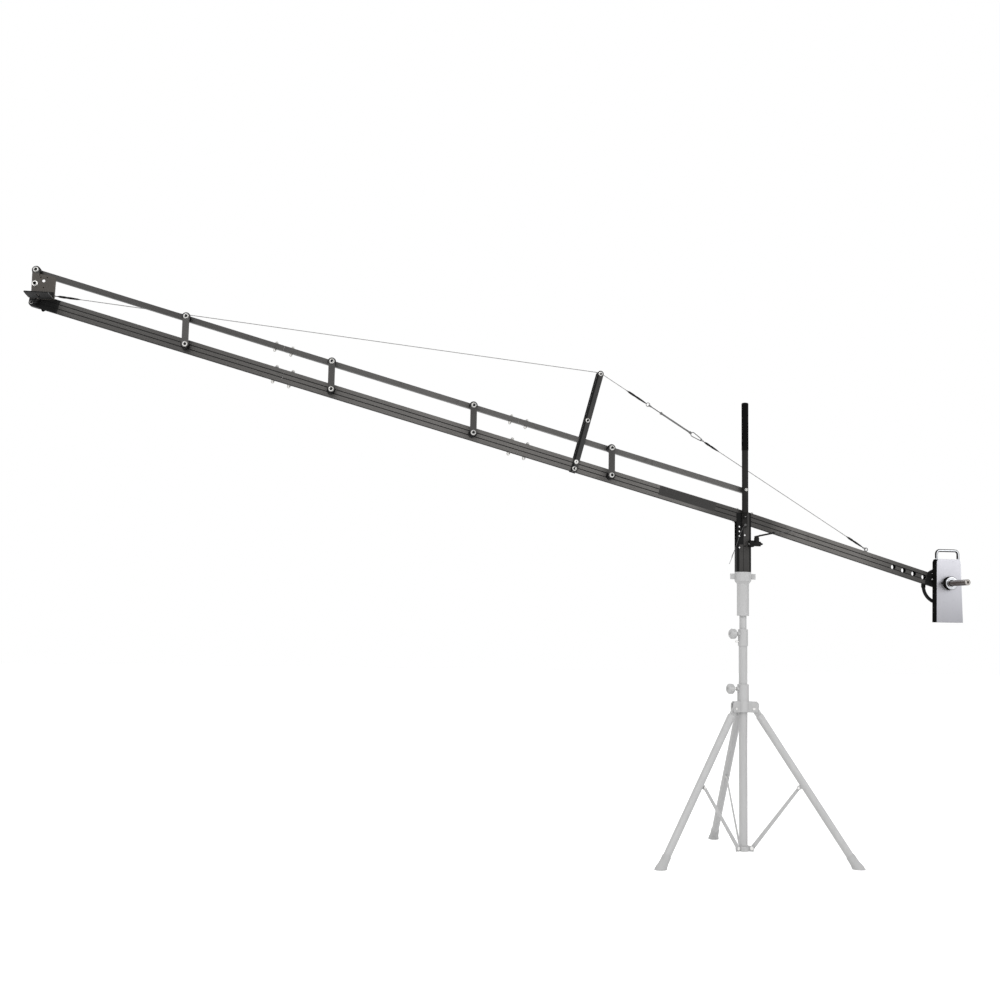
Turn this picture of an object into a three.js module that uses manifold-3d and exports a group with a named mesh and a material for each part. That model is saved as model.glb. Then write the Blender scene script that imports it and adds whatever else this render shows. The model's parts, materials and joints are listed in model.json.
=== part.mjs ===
import * as THREE from 'three';
import { mergeVertices } from 'three/addons/utils/BufferGeometryUtils.js';
import Module from 'manifold-3d';

// A camera jib crane on a tripod stand, in millimetres, +Z up.
// The boom points to -X and rises towards its head, the counterweight hangs on the +X end.
// The stand's axis is x = 0, y = 0, and the floor is z = 0 until the last lines, which move the
// whole crane so that the origin lies under the middle of its bounding box.

const wasm = await Module();
wasm.setup();

// Clearances between neighbouring pieces, and how far a cut runs past the face that it opens.
const fit = { seat: 0.3, bore: 0.35, overrun: 2 };

// Heights of the fulcrum and slopes of the two halves of the boom, as it stands in the photograph.
const fulcrum = { height: 1430, boomSlope: 14.91, tailSlope: 16.24 };

// The boom is four equal sections of grooved box tube, three ahead of the fulcrum and one behind.
const boom = {
  sectionLength: 1016, height: 56, width: 25.4, wall: 2.6, corner: 1.5,
  grooveWidth: 3, grooveDepth: 0.8, grooveHeight: 9, seam: 1,
};
const bar = { size: 22.2, wall: 2, corner: 1, seam: 1, endLength: 15 };
const link = { count: 4, length: 115, width: 27, thickness: 5.4 };

// Bolts that hinge the links: shank, washer and head in front, nut behind, black spacer between.
const pin = {
  radius: 4, spacerRadius: 17, spacerLength: 29.6, washerRadius: 11, washerThickness: 1.6,
  headRadius: 6.8, headLength: 4.6, nutRadius: 6.8, nutLength: 5.6, tip: 2,
};

// Splice bars inside the seams, with a pair of bolts on each side of the seam.
const splice = {
  slack: 0.4, boomLength: 160, barLength: 130, boltPitch: 68, boomBoltRadius: 3, barBoltRadius: 2.4,
  boomHeadRadius: 5.2, boomHeadLength: 4.2, barHeadRadius: 4.2, barHeadLength: 3,
};

const nose = { setback: 18, spigotLength: 70, boltSetback: 34 };

// The plates at the head: their edges are measured from the lower head pivot.
const headPlate = {
  left: 12, rightTop: 80, rightBottom: 78, bottom: 5, topLeft: 102, topRight: 87, thickness: 4,
  boltHeight: 57.5, boltRadius: 4, mainHoleRadius: 6.5, smallHoleRadius: 2.4,
};
// Places of the holes, as shares of the plate's length and height beyond the pivot.
const headHoleShares = {
  main: [0.414, 0.683], small: [[0.211, 0.907], [0.271, 0.817], [0.576, 0.819], [0.411, 0.416]],
};
const cameraPlate = {
  left: 18, right: 74, reach: 106, thickness: 4.5, corner: 6, flangeHeight: 30, flangeThickness: 4,
  flangeLeft: 18, slotWidth: 10, slotLength: 46, slotInset: 30, notchDepth: 15, screwRadius: 2.5,
  screwHeadRadius: 4.5, screwHeadLength: 2.5, screwInset: 14, screwHeight: 19,
};

const strut = {
  beyondLink: 155.4, width: 27, thickness: 4.8, faceGap: 0.5, top: 409, foot: 31.5,
  boltRise: 15, middleHeight: 199, boltRadius: 3, spacerRadius: 7, headRadius: 6, headLength: 4,
};
const roller = { radius: 11.5, grooveRadius: 8, grooveHalf: 3, y: 8, axleRadius: 4 };

// The taut stay: wire, swaged sleeves, end loops, turnbuckle and the two things it hooks into.
const stay = {
  wireRadius: 1.5, sleeveRadius: 3.6, loopRadius: 8, eyeRadius: 7, eyeWire: 2,
  lugSleeveStart: 29, lugSleeveLength: 78, frontSleeveStart: 143, frontSleeveLength: 86,
  tailSleeveLength: 70, rearSleeveLength: 76, sleeveLead: 8, rollerSteps: 3,
};
const lug = {
  setback: 40, rise: 40.5, width: 22, thickness: 3, y: 17, foot: 18, screwRises: [12, -8],
  screwRadius: 2.5, screwHeadRadius: 4.5, screwHeadLength: 3, bossRadius: 5.5,
};
const turnbuckle = {
  length: 245, bodyLength: 153, bodyRadius: 4, rodRadius: 2.6, nutRadius: 6, nutLength: 9,
};
const tailEye = {
  aheadOfHoles: 135, rise: 37, shankRadius: 3, shankDepth: 7, collarRadius: 6.5, collarLength: 1.5,
};

// The fulcrum bracket: a rounded channel whose two cheeks hold the boom between them.
const bracket = {
  width: 65, depth: 38, wall: 4, corner: 8, below: 234.7, above: 17, slotHalf: 13.2, slotBottom: 130,
  floor: 20, spigotRadius: 10, spigotLength: 45, holeRadius: 3.6,
  windowLeft: 14, windowRight: 20, windowTop: 30, windowBottom: 112, lowHoleRadius: 8,
};
// Places of the bracket's holes: across as shares of its half width, down as shares of its length
// below the pivot.
const bracketHoleShares = {
  left: -0.646, right: 0.092, low: -0.231,
  leftDrops: [0.179, 0.264, 0.349, 0.558], rightDrops: [0.064, 0.332, 0.533],
};
const tiltPin = { radius: 6, headRadius: 9.5, headLength: 6, nutRadius: 10, nutLength: 8, tip: 3 };
const mast = {
  y: 30, radius: 13.6, top: 492, gripLength: 207, gripRadius: 14.8, gripCap: 5, footWidth: 22,
  footThickness: 8, footDrop: 47, footRise: 32, boltDrop: 35, boltRadius: 3,
};
const barPin = { spacerRadius: 9 };
const clip = { radius: 0.8, headRadius: 5.5, headLength: 4, y: 34, reach: 72, drop: 203 };
// The wire's bends: sideways as shares of the clip's reach, down as shares of its drop.
const clipShares = {
  wire: [[0, 0.172], [0.167, 0.236], [0.375, 0.419], [0.681, 0.714], [0.806, 0.847], [1, 1]],
  prong: [[0.681, 0.714], [0.875, 0.867]],
};
const brake = {
  y: 32, drop: 115, spindleRadius: 4, spindleLeft: 15, lugLeft: 17, lugRight: 33.5, lugHalf: 14,
  bodyRadius: 10.5, bodyLength: 32.5, tipLength: 11, tipRadius: 2.5, postX: 50, postRadius: 9.5,
  postHeight: 34, leverRadius: 3.8, leverReach: 76, leverRise: 15, knobRadius: 5.5, tailRadius: 1.6,
  tailReach: 92, tailRise: 11,
};

// The tail: a row of large holes, the stepped rod, the hanging slab, its collar and the ring handle.
const tail = { holeCount: 6, endInset: 68.5, holePitch: 48.5, holeRadius: 10.7 };
const rod = {
  neckRadius: 10.3, radius: 12.7, front: 229, rear: 40, shoulderRadius: 18, shoulderLength: 18.4,
  chamfer: 2.5, socketRadius: 5, socketDepth: 9, rearHeadRadius: 15, rearHeadLength: 7,
};
const slab = {
  topWidth: 110, bottomWidth: 117, above: 105, below: 169, thickness: 27, corner: 12, bevel: 1.2,
  handleRadius: 5.5, handleHalf: 50.5, handleRise: 38, handleBend: 15, handleRoot: 6, bendSteps: 4,
};
const collar = { radius: 29, length: 25, chamfer: 2, screwRadius: 4.5, screwLength: 15 };
const ring = {
  radius: 73, drop: 11, wire: 6, y: 28, hubRadius: 17, hubLength: 9, spokeWidth: 16, spokeThickness: 6,
};
const ringBoss = { angle: 195, radius: 9.5, length: 18 };

// The stand, in pieces stacked down from the bracket; the column's bottom is above the floor.
const adapter = {
  cupRadius: 35, cupDepth: 38, neckDepth: 49, sleeveRadius: 25.5, length: 186, web: 9,
  wingReach: 56, wingThickness: 6, wingHeight: 24, wingDrop: 19,
};
const innerTube = { radius: 15, wall: 2.5, showing: 57, insertion: 332 };
const column = {
  radius: 18, wall: 2.5, bottom: 30, showing: 160, clampRadius: 21, clampLength: 71,
  hubRadius: 25.5, hubLength: 21, earReach: 44, earThickness: 6, earLength: 24,
};
const legCollar = {
  radius: 24.5, length: 117, hubRadius: 27, hubLength: 46, pivotRise: 15, earReach: 65,
  earThickness: 5, slack: 0.4,
};
const knob = {
  azimuth: 192, shankRadius: 4, headRadius: 22, headLength: 27, edge: 6, neckRadius: 8,
  bossRadius: 9, bossLength: 8, lobeCount: 6, lobeRadius: 3.5,
};
const heightKnob = { inset: 19.5, distance: 49 };
const legKnob = { inset: 19.5, distance: 60.5 };
const latch = { inset: 52, radius: 4, reach: 37 };
const leg = {
  azimuths: [-32.9, 87.1, 207.1], names: ['right', 'back', 'left'], pivotRadius: 50,
  footRadius: 468, radius: 16, tubeStart: 34, tongueHalf: 13, tongueThickness: 8, pinRadius: 3.5,
  pinHeadRadius: 6, pinHeadLength: 2.4, shoeLength: 60, shoeTopRadius: 18.5, shoeBottomRadius: 23.5,
  braceStation: 362, braceDrop: 25, earThickness: 6, earHalf: 9,
};
const brace = {
  width: 13, thickness: 4, lowerRadius: 36, lowerRise: 14, pinRadius: 3, pinHeadRadius: 5.5,
  pinHeadLength: 2, eyeRadius: 8.6, eyeHeadRadius: 7.5,
};

const counts = {
  pinSides: 8, hexSides: 6, roundSides: 12, tubeSides: 14, wireSides: 6, ringSides: 24, arcSteps: 5,
  cornerSteps: 3,
};
const weldDistance = 1e-4;

const coat = {
  boom: { color: 0x565351, roughness: 0.45, metalness: 0.55 },
  bar: { color: 0x5e5b59, roughness: 0.45, metalness: 0.5 },
  black: { color: 0x151413, roughness: 0.4, metalness: 0.2 },
  strut: { color: 0x242322, roughness: 0.4, metalness: 0.4 },
  bracket: { color: 0x3a3938, roughness: 0.42, metalness: 0.4 },
  zinc: { color: 0xc9c9c8, roughness: 0.25, metalness: 0.9 },
  chrome: { color: 0xd8d8dc, roughness: 0.1, metalness: 1 },
  satin: { color: 0xd0d0d4, roughness: 0.35, metalness: 0.8 },
  rod: { color: 0x6d6359, roughness: 0.25, metalness: 0.9 },
  wire: { color: 0xb9b9b6, roughness: 0.35, metalness: 0.8 },
  stand: { color: 0xb6b6b5, roughness: 0.6, metalness: 0.1 },
};

const radians = THREE.MathUtils.degToRad;

// Turns a closed geometry into a solid that can be joined and cut.
function solidOf(geometry) {
  const bare = geometry.clone();
  bare.deleteAttribute('normal');
  bare.deleteAttribute('uv');
  const welded = mergeVertices(bare, weldDistance);
  return new wasm.Manifold(new wasm.Mesh({
    numProp: 3,
    vertProperties: new Float32Array(welded.attributes.position.array),
    triVerts: new Uint32Array(welded.index.array),
  }));
}

function geometryOf(solid) {
  const { vertProperties, triVerts } = solid.getMesh();
  const geometry = new THREE.BufferGeometry();
  geometry.setAttribute('position', new THREE.BufferAttribute(vertProperties, 3));
  geometry.setIndex(new THREE.BufferAttribute(triVerts, 1));
  geometry.computeVertexNormals();
  return geometry;
}

function join(pieces) {
  return geometryOf(pieces.map(solidOf).reduce((whole, piece) => whole.add(piece)));
}

function cut(piece, tools) {
  return geometryOf(tools.map(solidOf).reduce((rest, tool) => rest.subtract(tool), solidOf(piece)));
}

function box(xRange, yRange, zRange) {
  const size = [xRange, yRange, zRange].map(([low, high]) => high - low);
  const middle = [xRange, yRange, zRange].map(([low, high]) => (low + high) / 2);
  return new THREE.BoxGeometry(...size).translate(...middle);
}

// A cylinder or cone between two places on a line through [x, y, z] along the named axis.
function cylinder(axis, radius, range, place = [0, 0, 0], count = counts.pinSides, endRadius = radius) {
  const [low, high] = range;
  const geometry = new THREE.CylinderGeometry(endRadius, radius, high - low, count);
  geometry.translate(0, (low + high) / 2, 0);
  if (axis === 'x') geometry.rotateZ(-Math.PI / 2);
  if (axis === 'z') geometry.rotateX(Math.PI / 2);
  return geometry.translate(...place);
}

// A tool for a round hole whose flats lie at the given radius, so that a round piece of that size passes.
function boreTool(axis, radius, range, place = [0, 0, 0], count = counts.pinSides) {
  return cylinder(axis, radius / Math.cos(Math.PI / count), range, place, count);
}

// A solid turned about the Z axis; the profile is a list of [radius, height] that closes on itself.
function turned(profile, count = counts.tubeSides) {
  const points = profile.map(([radius, height]) => new THREE.Vector2(radius, height));
  return new THREE.LatheGeometry(points, count).rotateX(Math.PI / 2);
}

// A plain upright extrusion of an outline in the XY plane, from z = 0.
function extruded(shape, depth, curveSegments) {
  return new THREE.ExtrudeGeometry(shape, { depth, bevelEnabled: false, curveSegments });
}

// A plate whose outline lies in the XZ plane, between two values of y.
function plateAcrossY(shape, yRange, curveSegments = counts.arcSteps) {
  const [low, high] = yRange;
  return extruded(shape, high - low, curveSegments).rotateX(Math.PI / 2).translate(0, high, 0);
}

// A bar whose outline lies in the YZ plane, between two values of x.
function barAlongX(shape, xRange, curveSegments = 1) {
  const [low, high] = xRange;
  const geometry = extruded(shape, high - low, curveSegments);
  const cycleAxes = new THREE.Matrix4().set(0, 0, 1, 0, 1, 0, 0, 0, 0, 1, 0, 0, 0, 0, 0, 1);
  return geometry.applyMatrix4(cycleAxes).translate(low, 0, 0);
}

function polygon(points) {
  return new THREE.Shape(points.map(([x, y]) => new THREE.Vector2(x, y)));
}

function roundedRectangle(width, height, radius) {
  const x = width / 2;
  const y = height / 2;
  const shape = new THREE.Shape();
  shape.moveTo(x, y - radius);
  shape.absarc(x - radius, y - radius, radius, 0, Math.PI / 2);
  shape.absarc(-x + radius, y - radius, radius, Math.PI / 2, Math.PI);
  shape.absarc(-x + radius, -y + radius, radius, Math.PI, 1.5 * Math.PI);
  shape.absarc(x - radius, -y + radius, radius, 1.5 * Math.PI, 2 * Math.PI);
  return shape;
}

// A strip with two round ends, from [x0, z0] to [x1, z1].
function capsule(start, end, radius) {
  const from = new THREE.Vector2(...start);
  const to = new THREE.Vector2(...end);
  const angle = to.clone().sub(from).angle();
  const shape = new THREE.Shape();
  shape.absarc(to.x, to.y, radius, angle - Math.PI / 2, angle + Math.PI / 2);
  shape.absarc(from.x, from.y, radius, angle + Math.PI / 2, angle + 1.5 * Math.PI);
  return shape;
}

// A round wire through a list of points, with closed ends.
function wireThrough(points, radius, count = counts.wireSides) {
  const positions = [];
  const indices = [];
  const direction = (index) => {
    const before = points[Math.max(index - 1, 0)];
    const after = points[Math.min(index + 1, points.length - 1)];
    return after.clone().sub(before).normalize();
  };
  let side = new THREE.Vector3(0, 1, 0);
  points.forEach((point, index) => {
    const along = direction(index);
    side = side.clone().addScaledVector(along, -side.dot(along)).normalize();
    const other = along.clone().cross(side);
    for (let step = 0; step < count; step += 1) {
      const angle = (2 * Math.PI * step) / count;
      const corner = point.clone();
      corner.addScaledVector(side, radius * Math.cos(angle));
      corner.addScaledVector(other, radius * Math.sin(angle));
      positions.push(...corner.toArray());
    }
  });
  const startHub = positions.length / 3;
  positions.push(...points[0].toArray(), ...points[points.length - 1].toArray());
  const lastRing = (points.length - 1) * count;
  for (let step = 0; step < count; step += 1) {
    const next = (step + 1) % count;
    for (let row = 0; row < lastRing; row += count) {
      indices.push(row + step, row + next, row + count + next);
      indices.push(row + step, row + count + next, row + count + step);
    }
    indices.push(startHub, next, step);
    indices.push(startHub + 1, lastRing + step, lastRing + next);
  }
  const geometry = new THREE.BufferGeometry();
  geometry.setAttribute('position', new THREE.Float32BufferAttribute(positions, 3));
  geometry.setIndex(indices);
  return geometry;
}

// A closed ring of wire about a centre, square to the given axis.
function wireRing(centre, axis, radius, wire, count = counts.roundSides) {
  const turn = new THREE.Quaternion().setFromUnitVectors(new THREE.Vector3(0, 0, 1), axis);
  return new THREE.TorusGeometry(radius, wire, counts.wireSides, count)
    .applyQuaternion(turn)
    .translate(...centre.toArray());
}

function addMesh(parent, name, geometry, look) {
  const mesh = new THREE.Mesh(geometry, new THREE.MeshStandardMaterial(look));
  mesh.name = name;
  parent.add(mesh);
  return mesh;
}

function addGroup(parent, place, slope = 0) {
  const group = new THREE.Group();
  group.position.set(...place);
  group.rotation.y = radians(slope);
  parent.add(group);
  return group;
}

const crane = new THREE.Group();
const boomGroup = addGroup(crane, [0, 0, fulcrum.height], fulcrum.boomSlope);
const tailGroup = addGroup(crane, [0, 0, fulcrum.height], fulcrum.tailSlope);
const barGroup = addGroup(crane, [0, 0, fulcrum.height + link.length], fulcrum.boomSlope);
const fulcrumGroup = addGroup(crane, [0, 0, fulcrum.height]);

const frontLength = 3 * boom.sectionLength;
const linkPitch = frontLength / (link.count + 1);
const linkStations = Array.from({ length: link.count }, (_, index) => (index + 1) * linkPitch);
const strutStation = linkPitch + strut.beyondLink;
const lugStation = frontLength - lug.setback;
const tailAngle = radians(fulcrum.tailSlope - fulcrum.boomSlope);

// Heights of the stand's pieces, from the bracket down.
const adapterTop = fulcrum.height - bracket.below - fit.seat;
const adapterBottom = adapterTop - adapter.length;
const columnTop = adapterBottom - innerTube.showing;
const clampBottom = columnTop - column.clampLength;
const collarTop = clampBottom - column.showing;
const collarBottom = collarTop - legCollar.length;
const legPivotHeight = collarBottom + legCollar.pivotRise;
const braceFootHeight = column.bottom + brace.lowerRise;

// Layers from the boom's front face towards the viewer, as values of -y.
const boomFace = boom.width / 2;
const barFace = bar.size / 2;
const linkBack = boomFace + pin.spacerLength + 2 * fit.seat;
const linkFront = linkBack + link.thickness;
const plateBack = linkFront + fit.seat;
const plateFront = plateBack + headPlate.thickness;

// The world place of a boom point, given along the boom from the fulcrum and square to it.
function boomPlace(station, rise = 0) {
  const slope = radians(fulcrum.boomSlope);
  const x = -station * Math.cos(slope) + rise * Math.sin(slope);
  const z = station * Math.sin(slope) + rise * Math.cos(slope);
  return [x, 0, fulcrum.height + z];
}

// Outline of the boom's tube: a box with cut corners and two grooves in each side.
function boomOutline() {
  const half = boom.width / 2;
  const rise = boom.height / 2;
  const floor = half - boom.grooveDepth;
  const rightSide = [[half, -rise + boom.corner]];
  for (const middle of [-boom.grooveHeight, boom.grooveHeight]) {
    const low = middle - boom.grooveWidth / 2;
    const high = middle + boom.grooveWidth / 2;
    rightSide.push([half, low], [floor, low], [floor, high], [half, high]);
  }
  rightSide.push([half, rise - boom.corner], [half - boom.corner, rise]);
  const leftSide = rightSide.map(([y, z]) => [-y, -z]);
  return polygon([...rightSide, ...leftSide]);
}

function rectangularHole(halfWidth, halfHeight) {
  const corners = [[-1, -1], [-1, 1], [1, 1], [1, -1]];
  return new THREE.Path(corners.map(([y, z]) => new THREE.Vector2(y * halfWidth, z * halfHeight)));
}

function boomTube(range, crossBores, uprightBores) {
  const shape = boomOutline();
  shape.holes.push(rectangularHole(boom.width / 2 - boom.wall, boom.height / 2 - boom.wall));
  const through = [-boom.height, boom.height];
  const tools = crossBores.map(({ x, z: rise = 0, radius, range: reach = through }) => (
    boreTool('y', radius, reach, [x, 0, rise])));
  for (const { x, radius, range: reach = through } of uprightBores) {
    tools.push(boreTool('z', radius, reach, [x, 0, 0]));
  }
  return cut(barAlongX(shape, range), tools);
}

const pinBore = pin.radius + fit.bore;
const boomBoltBore = splice.boomBoltRadius + fit.bore;
const barBoltBore = splice.barBoltRadius + fit.bore;

// Vertical bolt holes on both sides of the seams that end a section.
function boltBores(seams, radius) {
  return seams.flatMap((x) => [-1, 1].map((side) => ({ x: x + (side * splice.boltPitch) / 2, radius })));
}

function buildBoomSections() {
  const length = boom.sectionLength;
  const halfSeam = boom.seam / 2;
  const pivotBore = { x: 0, radius: tiltPin.radius + fit.bore };
  const pins = (numbers) => numbers.map((number) => ({ x: -linkStations[number], radius: pinBore }));
  const strutBores = [-1, 1].map((side) => (
    { x: -strutStation, z: side * strut.boltRise, radius: strut.boltRadius + fit.bore }));
  const fulcrumBores = [pivotBore, ...pins([0]), ...strutBores];
  const innerBolts = boltBores([0, -length], boomBoltBore);
  const inner = boomTube([-length + halfSeam, -halfSeam], fulcrumBores, innerBolts);
  addMesh(boomGroup, 'boom_fulcrum_section', inner, coat.boom);
  const middleBolts = boltBores([-length, -2 * length], boomBoltBore);
  const middle = boomTube([-2 * length + halfSeam, -length - halfSeam], pins([1, 2]), middleBolts);
  addMesh(boomGroup, 'boom_middle_section', middle, coat.boom);
  const rearWall = [boomFace - boom.wall - fit.overrun, boom.height];
  const lugBores = lug.screwRises.map((z) => (
    { x: -lugStation, z, radius: lug.screwRadius + fit.bore, range: rearWall }));
  const noseBolt = { x: -frontLength + nose.boltSetback, radius: boomBoltBore };
  const outerBolts = [...boltBores([-2 * length], boomBoltBore), noseBolt];
  const outerRange = [-frontLength + nose.setback, -2 * length - halfSeam];
  const outer = boomTube(outerRange, [...pins([3]), ...lugBores], outerBolts);
  addMesh(boomGroup, 'boom_head_section', outer, coat.boom);
}

function tailHoleStation(index) {
  return boom.sectionLength - tail.endInset - (tail.holeCount - 1 - index) * tail.holePitch;
}

const rodStation = tailHoleStation(tail.holeCount - 1);
const tailEyeStation = tailHoleStation(0) - tailEye.aheadOfHoles;

function buildTailSection() {
  const largeHoles = Array.from({ length: tail.holeCount }, (_, index) => (
    { x: tailHoleStation(index), radius: tail.holeRadius }));
  const pivotBore = { x: 0, radius: tiltPin.radius + fit.bore };
  const eyeBore = { x: tailEyeStation, radius: tailEye.shankRadius + fit.bore, range: [0, boom.height] };
  const upright = [...boltBores([0], boomBoltBore), eyeBore];
  const section = boomTube([boom.seam / 2, boom.sectionLength], [pivotBore, ...largeHoles], upright);
  addMesh(tailGroup, 'boom_tail_section', section, coat.boom);
}

// A bolt that passes upright through a splice, with a head above and one below.
function spliceBolt(x, face, radius, headRadius, headLength) {
  const start = face + fit.seat;
  const end = start + headLength;
  return [
    cylinder('z', radius, [-end, end], [x, 0, 0]),
    cylinder('z', headRadius, [start, end], [x, 0, 0], counts.hexSides),
    cylinder('z', headRadius, [-end, -start], [x, 0, 0], counts.hexSides),
  ];
}

function spliceBlock(range, width, height) {
  return box(range, [-width / 2, width / 2], [-height / 2, height / 2]);
}

const boomBlock = {
  width: boom.width - 2 * boom.wall - 2 * splice.slack,
  height: boom.height - 2 * boom.wall - 2 * splice.slack,
};

function boomSpliceBolt(x) {
  const { boomBoltRadius, boomHeadRadius, boomHeadLength } = splice;
  return spliceBolt(x, boom.height / 2, boomBoltRadius, boomHeadRadius, boomHeadLength);
}

function buildBoomSplices() {
  const half = splice.boomLength / 2;
  const offset = splice.boltPitch / 2;
  ['inner', 'outer'].forEach((name, index) => {
    const block = spliceBlock([-half, half], boomBlock.width, boomBlock.height);
    const pieces = [block, ...boomSpliceBolt(-offset), ...boomSpliceBolt(offset)];
    const mesh = addMesh(boomGroup, `boom_splice_${name}`, join(pieces), coat.zinc);
    mesh.position.x = -(index + 1) * boom.sectionLength;
  });
  const { width, height } = boomBlock;
  const frontWing = [spliceBlock([-half, 0], width, height), ...boomSpliceBolt(-offset)];
  const tailWing = [spliceBlock([0, half], width, height), ...boomSpliceBolt(offset)];
  const wings = join([...frontWing, ...tailWing.map((piece) => piece.rotateY(tailAngle))]);
  const bore = boreTool('y', tiltPin.radius + fit.bore, [-boom.width, boom.width]);
  addMesh(boomGroup, 'boom_splice_fulcrum', cut(wings, [bore]), coat.zinc);
}

// The solid nose that closes the boom's head end and carries the lower head pivot.
function buildNose() {
  const radius = boom.height / 2;
  const start = -frontLength + nose.setback - fit.seat;
  const outline = new THREE.Shape();
  outline.moveTo(start, radius);
  outline.lineTo(-frontLength, radius);
  outline.absarc(-frontLength, 0, radius, Math.PI / 2, 1.5 * Math.PI);
  outline.lineTo(start, -radius);
  const cap = plateAcrossY(outline, [-boomFace, boomFace]);
  const spigotRange = [start - fit.overrun, start + nose.spigotLength];
  const spigot = spliceBlock(spigotRange, boomBlock.width, boomBlock.height);
  const solid = join([cap, spigot, ...boomSpliceBolt(-frontLength + nose.boltSetback)]);
  const bore = boreTool('y', pinBore, [-boom.width, boom.width], [-frontLength, 0, 0]);
  addMesh(boomGroup, 'boom_nose_block', cut(solid, [bore]), coat.black);
}

function barTube(range, stations, seams) {
  const shape = roundedRectangle(bar.size, bar.size, bar.corner);
  const half = bar.size / 2 - bar.wall;
  shape.holes.push(rectangularHole(half, half));
  const through = [-bar.size, bar.size];
  const tools = stations.map((x) => boreTool('y', pinBore, through, [x, 0, 0]));
  for (const { x, radius } of boltBores(seams, barBoltBore)) {
    tools.push(boreTool('z', radius, through, [x, 0, 0]));
  }
  return cut(barAlongX(shape, range), tools);
}

function buildBar() {
  const length = boom.sectionLength;
  const halfSeam = bar.seam / 2;
  const at = (numbers) => numbers.map((number) => -linkStations[number]);
  const inner = barTube([-length + halfSeam, bar.endLength], [0, ...at([0])], [-length]);
  const middle = barTube([-2 * length + halfSeam, -length - halfSeam], at([1, 2]), [-length, -2 * length]);
  const outerRange = [-frontLength - bar.endLength, -2 * length - halfSeam];
  const outer = barTube(outerRange, [...at([3]), -frontLength], [-2 * length]);
  addMesh(barGroup, 'bar_fulcrum_section', inner, coat.bar);
  addMesh(barGroup, 'bar_middle_section', middle, coat.bar);
  addMesh(barGroup, 'bar_head_section', outer, coat.bar);
  const size = bar.size - 2 * bar.wall - 2 * splice.slack;
  const half = splice.barLength / 2;
  const offset = splice.boltPitch / 2;
  const bolts = [-offset, offset].flatMap((x) => (
    spliceBolt(x, bar.size / 2, splice.barBoltRadius, splice.barHeadRadius, splice.barHeadLength)));
  ['inner', 'outer'].forEach((name, index) => {
    const solid = join([spliceBlock([-half, half], size, size), ...bolts]);
    const mesh = addMesh(barGroup, `bar_splice_${name}`, solid, coat.zinc);
    mesh.position.x = -(index + 1) * length;
  });
}

// A hinge bolt across the boom or bar: the face is the half width of what it passes through.
function hingeBolt(face, headSeat) {
  const spacer = [-linkBack + fit.seat, -face - fit.seat];
  const washer = [-headSeat - pin.washerThickness, -headSeat];
  const head = [washer[0] - pin.headLength, washer[0]];
  const nut = [face + fit.seat, face + fit.seat + pin.nutLength];
  return join([
    cylinder('y', pin.radius, [head[0], nut[1] + pin.tip]),
    cylinder('y', pin.spacerRadius, spacer, [0, 0, 0], counts.roundSides),
    cylinder('y', pin.washerRadius, washer, [0, 0, 0], counts.roundSides),
    cylinder('y', pin.headRadius, head, [0, 0, 0], counts.hexSides),
    cylinder('y', pin.nutRadius, nut, [0, 0, 0], counts.hexSides),
  ]);
}

// A flat strip that hangs between a bar pivot and a boom pivot.
function linkStrip(extraBores = []) {
  const strip = plateAcrossY(capsule([0, 0], [0, link.length], link.width / 2), [-linkFront, -linkBack]);
  const reach = [-linkFront - fit.overrun, -linkBack + fit.overrun];
  const bores = [0, link.length].map((z) => boreTool('y', pinBore, reach, [0, 0, z]));
  const others = extraBores.map(({ z, radius }) => boreTool('y', radius, reach, [0, 0, z]));
  return cut(strip, [...bores, ...others]);
}

function buildLinks() {
  const headSeat = linkFront + fit.seat;
  linkStations.forEach((station, index) => {
    const number = index + 1;
    const strip = addMesh(crane, `link_${number}_plate`, linkStrip(), coat.bar);
    strip.position.set(...boomPlace(station));
    const lower = addMesh(boomGroup, `link_${number}_boom_pin`, hingeBolt(boomFace, headSeat), coat.black);
    lower.position.x = -station;
    const upper = addMesh(barGroup, `link_${number}_bar_pin`, hingeBolt(barFace, headSeat), coat.black);
    upper.position.x = -station;
  });
}

const headGroup = addGroup(crane, boomPlace(frontLength));

function buildHeadPlate() {
  const { left, rightTop, rightBottom, bottom, topLeft, topRight } = headPlate;
  const outline = polygon([
    [-left, -bottom], [rightBottom, -bottom], [rightTop, topRight], [-left, topLeft],
  ]);
  const plate = plateAcrossY(outline, [-plateFront, -plateBack]);
  const reach = [-plateFront - fit.overrun, -plateBack + fit.overrun];
  const bore = ([x, z], radius) => boreTool('y', radius, reach, [x, 0, z]);
  const placeOf = ([xShare, zShare]) => [xShare * rightTop, zShare * topLeft];
  const screwBores = cameraPlateScrews().map((place) => bore(place, cameraPlate.screwRadius + fit.bore));
  const bores = [
    bore([0, 0], pinBore),
    bore(placeOf(headHoleShares.main), headPlate.mainHoleRadius),
    ...headHoleShares.small.map((shares) => bore(placeOf(shares), headPlate.smallHoleRadius)),
    ...screwBores,
  ];
  const boltPlace = [0, 0, headPlate.boltHeight];
  const headBack = -plateFront - pin.washerThickness;
  const nutStart = -linkBack + fit.seat;
  const bolt = [
    cylinder('y', headPlate.boltRadius, [headBack - pin.headLength, nutStart + pin.nutLength], boltPlace),
    cylinder('y', pin.washerRadius, [headBack, -plateFront], boltPlace, counts.roundSides),
    cylinder('y', pin.headRadius, [headBack - pin.headLength, headBack], boltPlace, counts.hexSides),
    cylinder('y', pin.nutRadius, [nutStart, nutStart + pin.nutLength], boltPlace, counts.hexSides),
  ];
  addMesh(headGroup, 'head_plate', join([cut(plate, bores), ...bolt]), coat.strut);
}

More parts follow.
